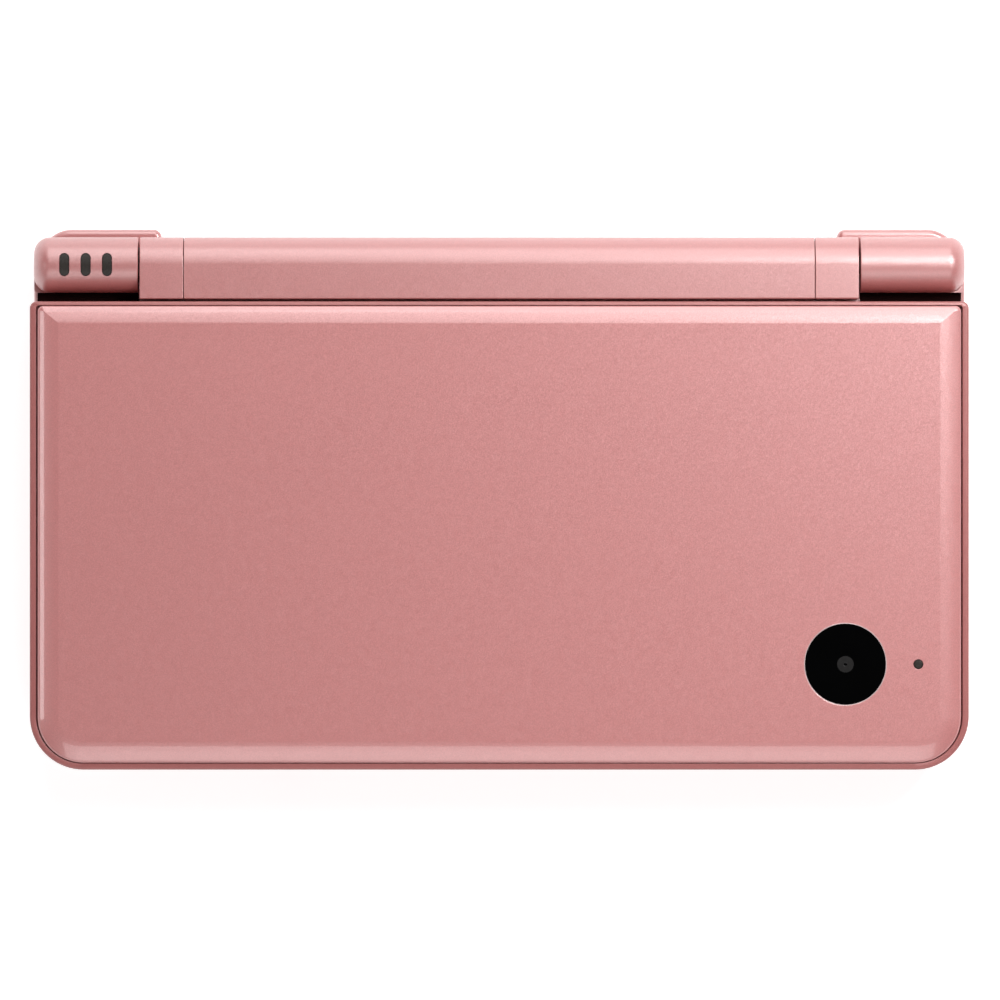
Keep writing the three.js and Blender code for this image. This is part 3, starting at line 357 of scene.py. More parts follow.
# metallic paint: fine flakes differ in shade and lean each its own way, under faint clouds of colour
def paintFinish(name, look):
    material, tree, shader = newFinish(name)
    spot = newNode(tree, "TexCoord")["Object"]
    flakes = newNode(tree, "TexVoronoi", {"Vector": spot}, {"Scale": 1 / (look["flakeSize"] * mm)})["Color"]
    shade = newNode(tree, "SeparateColor", {"Color": flakes})["Red"]
    glint = mapRange(tree, shade, 1 - look["glint"], 1 + look["glint"])
    clouds = noiseField(tree, spot, look["cloudScale"])
    cloudy = mapRange(tree, clouds, 1 - look["cloud"], 1 + look["cloud"], *noiseSpan)
    shaded(tree, look["colour"], mathStep(tree, "MULTIPLY", glint, cloudy), shader)
    off = newNode(tree, "VectorMath", {0: flakes}, {1: (0.5, 0.5, 0.5)}, operation="SUBTRACT")["Vector"]
    lean = newNode(tree, "VectorMath", {0: off}, {"Scale": look["lean"]}, operation="SCALE")["Vector"]
    surface = newNode(tree, "NewGeometry")["Normal"]
    leaning = newNode(tree, "VectorMath", {0: surface, 1: lean}, operation="ADD")["Vector"]
    normal = newNode(tree, "VectorMath", {0: leaning}, operation="NORMALIZE")["Vector"]
    tree.links.new(normal, shader.inputs["Normal"])
    grain = noiseField(tree, spot, look["grainScale"], 2.0)
    tree.links.new(mapRange(tree, grain, *look["roughness"], *noiseSpan), shader.inputs["Roughness"])
    setGloss(shader, look)
    return material


# moulded or polished materials: faint clouds of colour, fine bump and uneven gloss
mouldedLook = dict(cloudScale=300, cloud=0.15, grainScale=3000, bump=0.1, bumpDepth=0.01)


def mouldedFinish(name, **ownLook):
    look = dict(mouldedLook, **ownLook)
    material, tree, shader = newFinish(name)
    spot = newNode(tree, "TexCoord")["Object"]
    clouds = noiseField(tree, spot, look["cloudScale"])
    cloudy = mapRange(tree, clouds, 1 - look["cloud"], 1 + look["cloud"])
    shaded(tree, look["colour"], cloudy, shader)
    grain = noiseField(tree, spot, look["grainScale"])
    tree.links.new(mapRange(tree, grain, *look["roughness"], *noiseSpan), shader.inputs["Roughness"])
    strength = {"Strength": look["bump"], "Distance": look["bumpDepth"] * mm}
    tree.links.new(newNode(tree, "Bump", {"Height": grain}, strength)["Normal"], shader.inputs["Normal"])
    setGloss(shader, look)
    return material


coverPaint = paintFinish("roseCoverPaint", dict(
    colour=(0.59, 0.202, 0.196), flakeSize=0.12, glint=0.08, lean=0.08, cloudScale=9, cloud=0.02,
    grainScale=900, roughness=(0.33, 0.39), metallic=0.1, ior=1.8, gloss=1.0, coat=1.0, coatRoughness=0.04,
))
satinLook = dict(
    colour=(0.51, 0.152, 0.146), flakeSize=0.11, glint=0.08, lean=0.07, cloudScale=14, cloud=0.025,
    grainScale=1400, roughness=(0.36, 0.44), metallic=0.1, ior=1.95, gloss=1.0, coat=0.5, coatRoughness=0.3,
)
keyLook = dict(satinLook, glint=0.04, lean=0.015, roughness=(0.30, 0.36), coatRoughness=0.2)
framePaint = paintFinish("roseFramePaint", dict(satinLook, colour=(0.38, 0.111, 0.104), ior=1.6, gloss=0.6))
barrelPaint = paintFinish("roseBarrelPaint", satinLook)
basePaint = paintFinish("roseBasePaint", dict(satinLook, colour=(0.50, 0.150, 0.144)))
keyPaint = paintFinish("roseKeyPaint", keyLook)
stylusPaint = paintFinish("roseStylusPaint", dict(keyLook, metallic=0.0))

screenGlass = mouldedFinish(
    "screenGlass", colour=(0.006, 0.006, 0.007), cloudScale=30, cloud=0.2, grainScale=60,
    roughness=(0.05, 0.09), bump=0.02, gloss=0.2,
)
cameraGlass = mouldedFinish(
    "cameraGlass", colour=(0.0012, 0.0012, 0.0013), cloudScale=200, cloud=0.2, grainScale=300,
    roughness=(0.04, 0.07), bump=0.01, bumpDepth=0.005, gloss=0.03,
)
lensGlass = mouldedFinish(
    "lensGlass", colour=(0.020, 0.019, 0.019), cloudScale=900, cloud=0.25, grainScale=900,
    roughness=(0.12, 0.2), bump=0.05, gloss=0.15,
)
smokedGlass = mouldedFinish(
    "smokedLight", colour=(0.038, 0.033, 0.030), cloudScale=500, cloud=0.2, grainScale=1500,
    roughness=(0.22, 0.32), bumpDepth=0.02, gloss=0.15,
)
screenArea = mouldedFinish(
    "screenArea", colour=(0.020, 0.021, 0.024), cloudScale=60, cloud=0.1, grainScale=1800,
    roughness=(0.16, 0.22), bump=0.03, gloss=0.3,
)
displayFinish = mouldedFinish(
    "displayPanel", colour=(0.016, 0.017, 0.019), cloud=0.2, grainScale=2500, roughness=(0.3, 0.4),
)
# pale metallic trim: partly a real reflective ring, partly a painted highlight of the camera's edge
trimRingHighlight = mouldedFinish(
    "paintedHighlightTrimRing", colour=(0.85, 0.66, 0.65), cloudScale=200, cloud=0.03, grainScale=900,
    roughness=(0.15, 0.22), bump=0.02, bumpDepth=0.005, metallic=0.5, coat=0.5,
)
blackPlastic = mouldedFinish(
    "blackPlastic", colour=(0.012, 0.012, 0.013), cloudScale=120, roughness=(0.42, 0.55),
    bump=0.25, bumpDepth=0.03, gloss=0.25,
)
# near-black finish for strips that paint the shade in the gap between the lid and the knuckles
paintedShadeLiner = mouldedFinish(
    "paintedShadeLiner", colour=(0.010, 0.002, 0.002), cloudScale=120, roughness=(0.7, 0.8),
    bump=0.2, bumpDepth=0.02, gloss=0.05,
)
rubberFinish = mouldedFinish(
    "dullRubber", colour=(0.10, 0.075, 0.073), cloudScale=200, cloud=0.12, grainScale=2600,
    roughness=(0.7, 0.85), bump=0.4, bumpDepth=0.04, gloss=0.2,
)
steelFinish = mouldedFinish(
    "plainSteel", colour=(0.50, 0.50, 0.51), cloud=0.08, grainScale=4000, roughness=(0.26, 0.38),
    metallic=1.0,
)
# steel darkened to paint the shade in the narrow gap between each collar and knuckle
shadeDarkSteel = mouldedFinish(
    "shadeDarkSteel", colour=(0.035, 0.028, 0.028), roughness=(0.35, 0.5), metallic=0.6, gloss=0.2,
)
boardFinish = mouldedFinish(
    "greenBoard", colour=(0.018, 0.085, 0.045), cloudScale=240, cloud=0.4, grainScale=900,
    roughness=(0.4, 0.6), bump=0.3, bumpDepth=0.05,
)
batteryFinish = mouldedFinish(
    "batteryWrap", colour=(0.26, 0.27, 0.29), cloudScale=90, cloud=0.06, grainScale=700,
    roughness=(0.4, 0.55), bump=0.15, bumpDepth=0.03,
)
print("finishes mixed")


# camera above the console, as in the photograph

shot = dict(
    distance=2500, width=171.41, focusHeight=20, shiftX=0.12, shiftY=-0.16, sensor=36,
    nearest=0.1, farthest=50,
)
cameraData = bpy.data.cameras.new("overheadCamera")
cameraData.sensor_width = shot["sensor"]
cameraData.lens = shot["sensor"] * shot["distance"] / shot["width"]
cameraData.clip_start = shot["nearest"]
cameraData.clip_end = shot["farthest"]
camera = linked("overheadCamera", cameraData)
camera.location = Vector((shot["shiftX"], shot["shiftY"], shot["focusHeight"] + shot["distance"])) * mm
scene.camera = camera

# lamps: place, size and watts; each looks at the middle of the console

softboxes = {
    "bandBox": dict(place=(110, 262, 600), size=(480, 280), power=0.64),
    "keyBox": dict(place=(172, 140, 330), size=(140, 140), power=0.84),
    "barrelBox": dict(place=(0, 765, 575), size=(500, 600), power=2.3),
    "leftBox": dict(place=(-495, 0, 600), size=(140, 90), power=0.20),
    "frontBox": dict(place=(0, -371, 563), size=(500, 320), power=0.85),
}
for name, box in softboxes.items():
    lampData = bpy.data.lights.new(name, "AREA")
    lampData.shape = "RECTANGLE"
    lampData.size, lampData.size_y = (length * mm for length in box["size"])
    lampData.energy = box["power"]
    lamp = linked(name, lampData)
    lamp.location = Vector(box["place"]) * mm
    lamp.rotation_euler = (-lamp.location).to_track_quat("-Z", "Y").to_euler()
    lamp.visible_camera = False

# room: white walls, dimmer towards the ceiling

roomLook = dict(wall=0.95, ceiling=0.06, wallTop=0.3, ceilingFrom=0.64)
room = bpy.data.worlds.new("studioRoom")
room.use_nodes = True
scene.world = room
roomTree = room.node_tree
background = roomTree.nodes["Background"]
setInputs(background, {"Color": (1, 1, 1, 1)})
upward = newNode(roomTree, "SeparateXYZ", {"Vector": newNode(roomTree, "TexCoord")["Generated"]})["Z"]
roomLevel = mapRange(
    roomTree, upward, roomLook["wall"], roomLook["ceiling"], roomLook["wallTop"], roomLook["ceilingFrom"],
)
roomTree.links.new(roomLevel, background.inputs["Strength"])

# floor: pale, keeps the console's shadow, and is white where it is seen, also in metal and glass

floorLook = dict(half=6000, height=-0.02, colour=0.80, roughness=0.9, gloss=0.1, lift=0.65)
floorCorners = [
    (x * floorLook["half"], y * floorLook["half"], floorLook["height"])
    for x, y in ((-1, -1), (1, -1), (1, 1), (-1, 1))
]
floor = meshObject("studioFloor", floorCorners, [(0, 1, 2, 3)])
floorPaint, floorTree, floorShader = newFinish("studioFloorPaint")
setInputs(floorShader, {
    "Base Color": (floorLook["colour"],) * 3 + (1,), "Roughness": floorLook["roughness"],
    "Specular IOR Level": floorLook["gloss"], "Emission Color": (1, 1, 1, 1),
})
rays = newNode(floorTree, "LightPath")
seen = mathStep(floorTree, "MAXIMUM", rays["Is Camera Ray"], rays["Is Glossy Ray"])
seen = mathStep(floorTree, "MAXIMUM", seen, rays["Is Transmission Ray"])
lift = mapRange(floorTree, seen, 0, floorLook["lift"])
floorTree.links.new(lift, floorShader.inputs["Emission Strength"])
floor.data.materials.append(floorPaint)
scene.view_settings.view_transform = "Standard"
print("studio ready")


# lid cover: a glossy shell whose top falls away softly towards its edges

coverSize = dict(
    frontRadius=7.85, backRadius=0.95, wall=1.2, skin=1.4, rollWidth=3.75, crease=0.075, fall=0.64,
    edgeRadius=0.5, backShare=0.83, frontReach=0.15, edgeSteps=6, rollSteps=10,
    cameraInset=19.85, cameraSetBack=16.75, cameraRadius=7.05, cameraDepth=0.8, cameraFlare=0.12,
    lensHole=2.3, lensHoleTop=0.4, lightInset=7.35, lightHole=0.85, lightFlare=0.06, holeDepth=5,
)


def coverProfile(size):
    top = coverHigh.z
    roll = size["rollWidth"]
    outer = size["edgeRadius"]
    span = roll - outer
    bend = (size["fall"] - size["crease"] * span) / span ** 2
    shoulder = top - size["fall"]
    profile = [(size["wall"], top - size["skin"]), (size["wall"], coverLow.z), (0, coverLow.z)]
    slope = math.atan(size["crease"] + 2 * bend * span)
    for step in range(size["edgeSteps"] + 1):
        angle = (quarterTurn - slope) * step / size["edgeSteps"]
        inset = outer * (1 - math.cos(angle)) / (1 - math.sin(slope))
        drop = outer * (math.cos(slope) - math.sin(angle))
        profile.append((inset, shoulder - drop))
    for step in range(1, size["rollSteps"] + 1):
        left = span * (1 - step / size["rollSteps"])
        profile.append((roll - left, top - size["crease"] * left - bend * left ** 2))
    return profile


size = coverSize
coverTop = coverHigh.z
lidCover = profiledPlate(
    "lidCoverPanel", (
        coverLow.x, coverHigh.x, coverLow.y - size["frontReach"], coverHigh.y,
        size["frontRadius"], size["backRadius"],
    ),
    coverProfile(size), 18, size["backShare"],
)
cameraX = coverHigh.x - size["cameraInset"]
cameraY = coverLow.y + size["cameraSetBack"]
lightX = coverHigh.x - size["lightInset"]
cutOut(
    lidCover,
    flaredCutter(
        "cameraSeat", size["cameraRadius"], size["cameraFlare"], coverTop, coverTop - size["cameraDepth"],
        cameraX, cameraY, 96,
    ),
    roundBar(
        "lensHole", size["lensHole"], -size["holeDepth"], -size["lensHoleTop"], (cameraX, cameraY, coverTop),
    ),
    flaredCutter(
        "lightHole", size["lightHole"], size["lightFlare"], coverTop, coverTop - size["holeDepth"],
        lightX, cameraY, 40,
    ),
)
place(lidCover, coverPaint, "rose_metallic_cover", "lid", "lid_cover")
print("lid cover done")


# lid frame: the rim round the cover, and the inner face with the screen's recess

frameSize = dict(
    rim=1.35, groove=0.25, backRim=0.78, backGroove=0.1, backTilt=0.16, frontRadius=9.2, backRadius=1.2,
    leastRadius=0.3, rimTop=20.0, rimEdge=0.4, lipEdge=0.12, lipShare=0.3, seat=1.2, floorTop=14.4,
    windowSkin=0.8, windowLedge=1.5, windowGap=0.15, windowRadius=2,
    grilleInset=19, grilleDepth=3, holeRadius=0.8, ringRadius=3.8, holes=6,
)
frameLeft = coverLow.x - frameSize["rim"]
frameRight = coverHigh.x + frameSize["rim"]
frameFront = coverLow.y - frameSize["rim"]
frameBack = coverHigh.y + frameSize["backRim"]
rimInner = frameSize["rim"] - frameSize["groove"]
rimBackShare = (frameSize["backRim"] - frameSize["backGroove"]) / rimInner
seatZ = coverLow.z


def framePlate(name, profile):
    size = frameSize
    rings = []
    for inset, height in profile:
        backInset = inset * rimBackShare
        outline = plateOutline(
            frameLeft + inset, frameRight - inset, frameFront + inset, frameBack - backInset,
            size["frontRadius"] - inset, max(size["backRadius"] - backInset, size["leastRadius"]), 18,
        )
        tilt = size["backTilt"] * max(1 - inset / rimInner, 0) if height > seatZ else 0
        rings.append([(x, y, height - (tilt if y > coverHigh.y else 0)) for x, y in outline])
    return skinned(name, rings)


# recess that a window lies in, and the opening behind it
def windowRoom(low, high):
    gap, ledge, radius = frameSize["windowGap"], frameSize["windowLedge"], frameSize["windowRadius"]
    recess = (low.x - gap, high.x + gap, low.y - gap, high.y + gap, radius, radius)
    opening = (recess[0] + ledge, recess[1] - ledge, recess[2] + ledge, recess[3] - ledge, radius, radius)
    return recess, opening


size = frameSize
lidFrame = framePlate("lidFramePanel", [
    *roundedFoot(size["rimEdge"], lidFaceZ),
    *roundedEdge(size["rimEdge"], size["rimTop"]),
    (rimInner - size["lipEdge"], size["rimTop"]),
    (rimInner - size["lipShare"] * size["lipEdge"], size["rimTop"] - size["lipShare"] * size["lipEdge"]),
    (rimInner, size["rimTop"] - size["lipEdge"]),
    (rimInner, seatZ),
    (rimInner + size["seat"], seatZ),
    (rimInner + size["seat"], size["floorTop"]),
])
upperRecess, upperOpening = windowRoom(upperLow, upperHigh)
windowMiddle = (upperRecess[2] + upperRecess[3]) / 2
cutOut(
    lidFrame,
    recessCutter("upperRecess", upperRecess, lidFaceZ, size["windowSkin"]),
    profiledPlate("upperOpening", upperOpening, [(0, lidFaceZ - past), (0, size["floorTop"] + past)], 8),
)
grilleX = frameRight - size["grilleInset"]
grilleSpots = [(0, 0)] + arcPoints(0, 0, size["ringRadius"], 0, 4 * quarterTurn, size["holes"])[:-1]
cutOut(lidFrame, joined("grilleHoles", [
    softHole(
        "grilleHole", size["holeRadius"], size["grilleDepth"], (middle + x, windowMiddle + y, lidFaceZ), 24,
    )
    for middle in (-grilleX, grilleX) for x, y in grilleSpots
]))
place(lidFrame, framePaint, "rose_satin_frame", "lid", "lid_frame")
print("lid frame done")


# hinge barrel: round behind and below, flat on top, square where it meets the lid

barrelSize = dict(
    flat=5.93, bore=3.5, boreFit=0.12, fit=0.1, edge=0.35, coverHalf=54.2, collarHalf=61.7, joint=0.1,
    neckTop=2.8, neckFront=0.6, seam=0.11, coverBevel=0.09, collarBevel=0.16, steps=28,
    eyeHole=1.9, eyeDepth=1.8, microphoneX=16, microphoneHole=0.6, holeReach=8,
)
barrelFront = axisY - barrelSize["flat"]
meeting = math.asin((axisZ - lidFaceZ) / barrelRadius)
neckTop = lidFaceZ + barrelSize["neckTop"]


def topFront():
    edge = barrelSize["edge"]
    return arcPoints(
        barrelFront + edge, axisZ + barrelRadius - edge, edge, quarterTurn, 2 * quarterTurn, 5,
    )


def upperSection():
    size = barrelSize
    joint = axisZ + size["joint"]
    fit = size["fit"]
    opened = math.asin(size["joint"] / barrelRadius)
    return [
        *arcPoints(axisY, axisZ, barrelRadius, opened, quarterTurn, size["steps"]),
        *topFront(),
        (barrelFront, neckTop + fit), (axisY - size["bore"] + fit, neckTop + fit),
        (axisY - size["bore"] + fit, joint),
        *arcPoints(axisY, axisZ, size["bore"] - size["boreFit"], 2 * quarterTurn, 0, size["steps"])[1:-1],
        (axisY + size["bore"] - fit, joint),
    ]


def lowerSection():
    size = barrelSize
    neckFront = frameBack - size["neckFront"]
    return [
        *arcPoints(axisY, axisZ, barrelRadius, 0, -2 * quarterTurn + meeting, size["steps"]),
        (neckFront, lidFaceZ), (neckFront, neckTop), (axisY - size["bore"], neckTop),
        *arcPoints(axisY, axisZ, size["bore"], 2 * quarterTurn, 4 * quarterTurn, size["steps"]),
    ]


def wholeSection():
    start, end = 2 * quarterTurn + meeting, 5 * quarterTurn
    return [
        (barrelFront, lidFaceZ),
        *arcPoints(axisY, axisZ, barrelRadius, start, end, 2 * barrelSize["steps"]),
        *topFront(),
    ]


size = barrelSize
half = size["coverHalf"]
coverEnd = half - size["seam"]
barrelCover = sectionBar("barrelCoverPiece", upperSection(), -coverEnd, coverEnd)
bevelEdges(barrelCover, size["coverBevel"])
place(barrelCover, barrelPaint, "rose_satin_barrel", "lid", "barrel_cover")
barrelUnder = sectionBar("barrelUnderside", lowerSection(), -coverEnd, coverEnd)
cutOut(
    barrelUnder,
    roundBar("eyeHole", size["eyeHole"], -size["holeReach"], -size["eyeDepth"], axis, sides=40),
    roundBar(
        "micHole", size["microphoneHole"], -size["holeReach"], 0, (size["microphoneX"], *axis[1:]), sides=20,
    ),
)
place(barrelUnder, framePaint, "rose_satin_frame", "lid", "lid_frame")
for name, left, node in (
    ("barrelCollarLeft", -size["collarHalf"], "barrel_collar_left"),
    ("barrelCollarRight", half, "barrel_collar_right"),
):
    right = left + size["collarHalf"] - half
    collar = sectionBar(name, wholeSection(), left, right)
    bevelEdges(collar, size["collarBevel"])
    cutOut(collar, roundBar("collarBore", size["bore"], left - past, right + past, axis, "X"))
    place(collar, barrelPaint, "rose_satin_barrel", "lid", node)
print("barrel done")


# base: outline and edges shared by its two shells

baseSize = dict(
    frontRadius=8.7, backRadius=3.0, wall=1.4, faceSkin=1.4, floorSkin=1.6, faceEdge=0.8, floorEdge=2.0,
    partingGroove=0.14, troughGap=0.4, troughWall=1.2, troughDrop=0.02, lipDrop=1.8,
    knuckleGap=0.3, knuckleInset=0.1, knuckleEdge=0.12, knuckleEnd=2.7, knuckleSteps=12, knuckleFront=0.6,
    pocketInner=57.6, pocketReach=3.9, pocketTop=7.8, pinBore=2.7, pinDepth=6.1, tubeBore=3.1, tubeDepth=4.1,
)
baseLeft, baseRight = shellLow.x, shellHigh.x
baseFront, baseBack = shellLow.y, shellHigh.y
baseBottom = shellLow.z
faceUnder = faceZ - baseSize["faceSkin"]
floorTop = baseBottom + baseSize["floorSkin"]
hingeBack = collarHigh.y
knuckleInner = barrelSize["collarHalf"] + baseSize["knuckleGap"]
baseSizes = (baseLeft, baseRight, baseFront, baseBack, baseSize["frontRadius"], baseSize["backRadius"])
troughRadius = barrelRadius + baseSize["troughGap"]
troughHalf = knuckleInner + baseSize["troughWall"]
groove = baseSize["partingGroove"]


def pocketCutters(name):
    return [
        blockMesh(
            name, *sorted((side * baseSize["pocketInner"], side * (baseRight + 2 * past))),
            axisY - baseSize["pocketReach"], hingeBack + 2 * past, floorTop, baseSize["pocketTop"],
        )
        for side in (-1, 1)
    ]


# knuckle of the hinge: a round boss with a soft outer end, on a foot that joins it to the shell
def knuckleParts(side):
    size = baseSize
    outer = baseRight - size["knuckleInset"]
    end, edge = size["knuckleEnd"], size["knuckleEdge"]
    profile = [(0, knuckleInner), (barrelRadius - edge, knuckleInner), (barrelRadius, knuckleInner + edge)]
    for angle in quarterAngles(size["knuckleSteps"]):
        profile.append((barrelRadius - end * (1 - math.cos(angle)), outer - end * (1 - math.sin(angle))))
    profile.append((0, outer))
    boss = turnedBody("knuckleBoss", [(radius, side * along) for radius, along in profile], axis, "X", 72)
    foot = profiledPlate(
        "knuckleFoot",
        (knuckleInner, outer, axisY - barrelRadius, hingeBack, size["knuckleFront"], end),
        [(0, size["pocketTop"]), (0, axisZ)], 12,
    )
    if side < 0:
        for vertex in foot.data.vertices:
            vertex.co.x = -vertex.co.x
        foot.data.flip_normals()
    squareInner = blockMesh(
        "footInner", *sorted((side * knuckleInner, side * (knuckleInner + end))),
        axisY - barrelRadius, hingeBack, size["pocketTop"], axisZ,
    )
    return [boss, foot, squareInner]


# keys: place, radius and height of each cap in the inner face
keySize = dict(
    flange=0.7, flangeHeight=0.8, edge=0.45, smallEdge=0.25, smallUnder=3, clearance=0.1,
    dome=0.12, domeShares=(0.85, 0.65, 0.4, 0.15, 0), holeGap=0.3, holeFlare=0.18,
)
keys = {}
for node in (
    "action_key_right", "action_key_bottom", "action_key_top", "action_key_left",
    "start_button", "select_button", "power_button",
):
    low, high = nodeBox(node)
    x, y, _ = nodeMiddle(node)
    keys[node] = dict(x=x, y=y, radius=(high.x - low.x) / 2 - keySize["flange"], top=high.z)


# direction pad: a cross with soft edges, a shallow dish in the middle and short notches on its arms
padSize = dict(
    half=10, arm=3.5, corner=0.7, leastCorner=0.2, edge=0.4, flangeRadius=8.5, flangeHeight=0.6,
    flangeDrop=0.7, overlap=0.01, holeGap=0.45, holeFlare=0.18, holeCorner=0.9, mouthCorner=1.0,
    dishInner=0.6, dishMiddle=1.6, dishRadius=2.3, dishDepth=0.14, dishShare=0.6, dishLip=0.02,
    bars=2, barLength=3.0, barWidth=0.5, barFrom=5.4, barGap=1.3, barCorner=0.24, barInset=0.08,
    barDepth=0.14, barEdge=0.06,
)
padHigh = nodeBox("direction_pad")[1]
padX, padY, _ = nodeMiddle("direction_pad")


# the cross turns about its middle; outer corners are rounded, inner ones are not
def crossBody(name, levels, steps=4):
    rings = []
    for half, arm, corner, height in levels:
        run = [(arm, -arm)]
        run += arcPoints(half - corner, -arm + corner, corner, -quarterTurn, 0, steps)
        run += arcPoints(half - corner, arm - corner, corner, 0, quarterTurn, steps)
        rings.append([
            (padX + cosine * a - sine * b, padY + sine * a + cosine * b, height)
            for cosine, sine in ((1, 0), (0, 1), (-1, 0), (0, -1)) for a, b in run
        ])
    return skinned(name, rings)


# status lights, just under the round top of the left knuckle
statusLights = ("status_light_power", "status_light_charge", "status_light_wireless")
statusSize = dict(width=1.54, length=3.8, depth=1.4, gap=0.1, sink=0.05, skinHalf=2)


def lightPrism(name, x, gap):
    width, length = statusSize["width"] + 2 * gap, statusSize["length"] + 2 * gap
    low, high = axisZ + barrelRadius - statusSize["depth"] - gap, axisZ + 2 * barrelRadius
    sizes = centredSizes(width, length, x, axisY, statusSize["width"] / 2 + gap)
    return profiledPlate(name, sizes, [(0, low), (0, high)], 10)


rockerLow, rockerHigh = nodeBox("volume_rocker")
_, rockerY, rockerZ = nodeMiddle("volume_rocker")
rockerSize = dict(
    length=17, height=2, gap=0.3, slotDepth=1.5, flangeGap=0.7, flangeDepth=0.9, overlap=0.1, proud=0.4,
    edge=0.35, corner=0.9, dipRadius=0.75, dipOut=0.5, dipHalf=3,
)
stylusLow, stylusHigh = nodeBox("stylus")
_, stylusY, stylusZ = nodeMiddle("stylus")
stylusRadius = (stylusHigh.z - stylusLow.z) / 2
channelSize = dict(
    wall=1.0, end=0.8, outerEnd=0.7, low=6.9, overlap=0.7, bore=0.2, mouth=0.45, mouthIn=0.2, lip=0.05,
)


# upper shell of the base
size = baseSize
baseTop = profiledPlate("baseTopShell", baseSizes, [
    (size["wall"], faceUnder), (size["wall"], partingZ), (groove, partingZ), (0, partingZ + groove),
    *roundedEdge(size["faceEdge"], faceZ, 8),
], 16)
bulk = roundBar("troughBulk", troughRadius + size["troughWall"], -knuckleInner, knuckleInner, axis, "X", 72)
combine(bulk, "INTERSECT", blockMesh(
    "bulkRoom", baseLeft, baseRight, axisY - 2 * troughRadius, baseBack, size["pocketTop"],
    faceZ - size["troughDrop"],
))
addTo(baseTop, bulk)
channelHalf = stylusRadius + channelSize["wall"]
addTo(baseTop, blockMesh(
    "stylusChannel", stylusLow.x - channelSize["end"], baseRight - channelSize["outerEnd"],
    stylusY - channelHalf, stylusY + channelHalf, channelSize["low"], faceUnder + channelSize["overlap"],
))
cutOut(
    baseTop,
    roundBar("trough", troughRadius, -troughHalf, troughHalf, axis, "X", 72),
    blockMesh(
        "troughBack", -troughHalf, troughHalf, axisY, hingeBack + 3 * past, faceZ - size["lipDrop"],
        faceZ + 3 * past,
    ),
)
for side in (-1, 1):
    addTo(baseTop, *knuckleParts(side))
cutOut(baseTop, *pocketCutters("topPocket"))
bore, mouth = stylusRadius + channelSize["bore"], stylusRadius + channelSize["mouth"]
cutOut(baseTop, turnedBody(
    "stylusBore", [
        (bore, stylusLow.x), (bore, baseRight - channelSize["mouthIn"]),
        (mouth, baseRight + channelSize["lip"]), (mouth, baseRight + 2 * past),
    ],
    (0, stylusY, stylusZ), "X",
))
touchRecess, touchOpening = windowRoom(touchLow, touchHigh)
cutOut(
    baseTop,
    recessCutter("touchRecess", touchRecess, faceZ, -frameSize["windowSkin"]),
    profiledPlate("touchOpening", touchOpening, [(0, faceUnder - past), (0, faceZ + past)], 8),
)
faceTools = [
    flaredCutter(
        "keyHole", key["radius"] + keySize["holeGap"], keySize["holeFlare"], faceZ, faceUnder - past,
        key["x"], key["y"], 48,
    )
    for key in keys.values()
]
size = padSize
hole = (size["half"] + size["holeGap"], size["arm"] + size["holeGap"])
holeMouth = (hole[0] + size["holeFlare"], hole[1] + size["holeFlare"], size["mouthCorner"])
faceTools.append(crossBody("padHole", [
    (*hole, size["holeCorner"], faceUnder - past), (*hole, size["holeCorner"], faceZ - size["holeFlare"]),
    (*holeMouth, faceZ), (*holeMouth, faceZ + past),
]))
cutOut(baseTop, joined("faceHoles", faceTools))
size = rockerSize
rockerHalf = size["length"] / 2 + size["gap"]
rockerRise = size["height"] / 2 + size["gap"]
cutOut(baseTop, blockMesh(
    "rockerSlot", baseLeft - 2 * past, baseLeft + size["slotDepth"],
    rockerY - rockerHalf, rockerY + rockerHalf, rockerZ - rockerRise, rockerZ + rockerRise,
))
size = baseSize
pinEnd, tubeEnd = knuckleInner + size["pinDepth"], knuckleInner + size["tubeDepth"]
cutOut(
    baseTop,
    roundBar("pinKeyBore", size["pinBore"], knuckleInner - past, pinEnd, axis, "X", 6),
    roundBar("tubeBore", size["tubeBore"], -tubeEnd, -knuckleInner + past, axis, "X"),
)
cutOut(baseTop, joined("lightHoles", [
    lightPrism("lightHole", nodeMiddle(node)[0], statusSize["gap"]) for node in statusLights
]))
place(baseTop, basePaint, "rose_satin_base", "base", "base_top_shell")
print("upper shell of the base done")


# windows of the status lights
skinRadius = barrelRadius - statusSize["sink"]
for node in statusLights:
    x = nodeMiddle(node)[0]
    light = lightPrism(node + "_window", x, 0)
    start, end = x - statusSize["skinHalf"], x + statusSize["skinHalf"]
    combine(light, "INTERSECT", roundBar("lightSkin", skinRadius, start, end, axis, "X", 96))
    place(light, smokedGlass, "smoked_lights", "base", node)


# lower shell, with its wall openings, hatch, feet and screws
bottomSize = dict(
    hatchWidth=58, hatchDepth=44, hatchSkin=1, hatchRadius=2, bayWidth=46.6, bayDepth=38.6, bayRadius=0.3,
    footRadius=3.6, footRecess=0.4, screwRadius=0.8, screwDepth=5, caseScrewRadius=2.0, caseScrewDepth=0.7,
    caseScrewX=44, caseScrewFront=-36.5, caseScrewBack=24, wallCut=1, cardWidth=33.6,
    chargerWidth=8, chargerHeight=2.8, noseHole=2.2, noseDepth=3, noseLip=0.05,
)
doorSize = dict(
    sill=0.4, side=0.7, head=0.1, thickness=1, inset=0.8, bevel=0.18, pinInset=0.7, pinHeight=3.5,
    pinRadius=0.35, pinHole=0.4, pinGap=0.1, notchWidth=1.0, notchLength=7, notchCorner=0.3, notchInset=0.25,
    notchDepth=0.5, notchFloor=0.35,
)
hatchLow, hatchHigh = nodeBox("battery_cover")
hatchX, hatchY, _ = nodeMiddle("battery_cover")
screwLow, screwHigh = nodeBox("battery_screw_right")
screwX = nodeMiddle("battery_screw_right")[0]
doorLow, doorHigh = nodeBox("sd_cover")
doorPin = (baseRight - doorSize["pinInset"], 0, doorSize["pinHeight"])
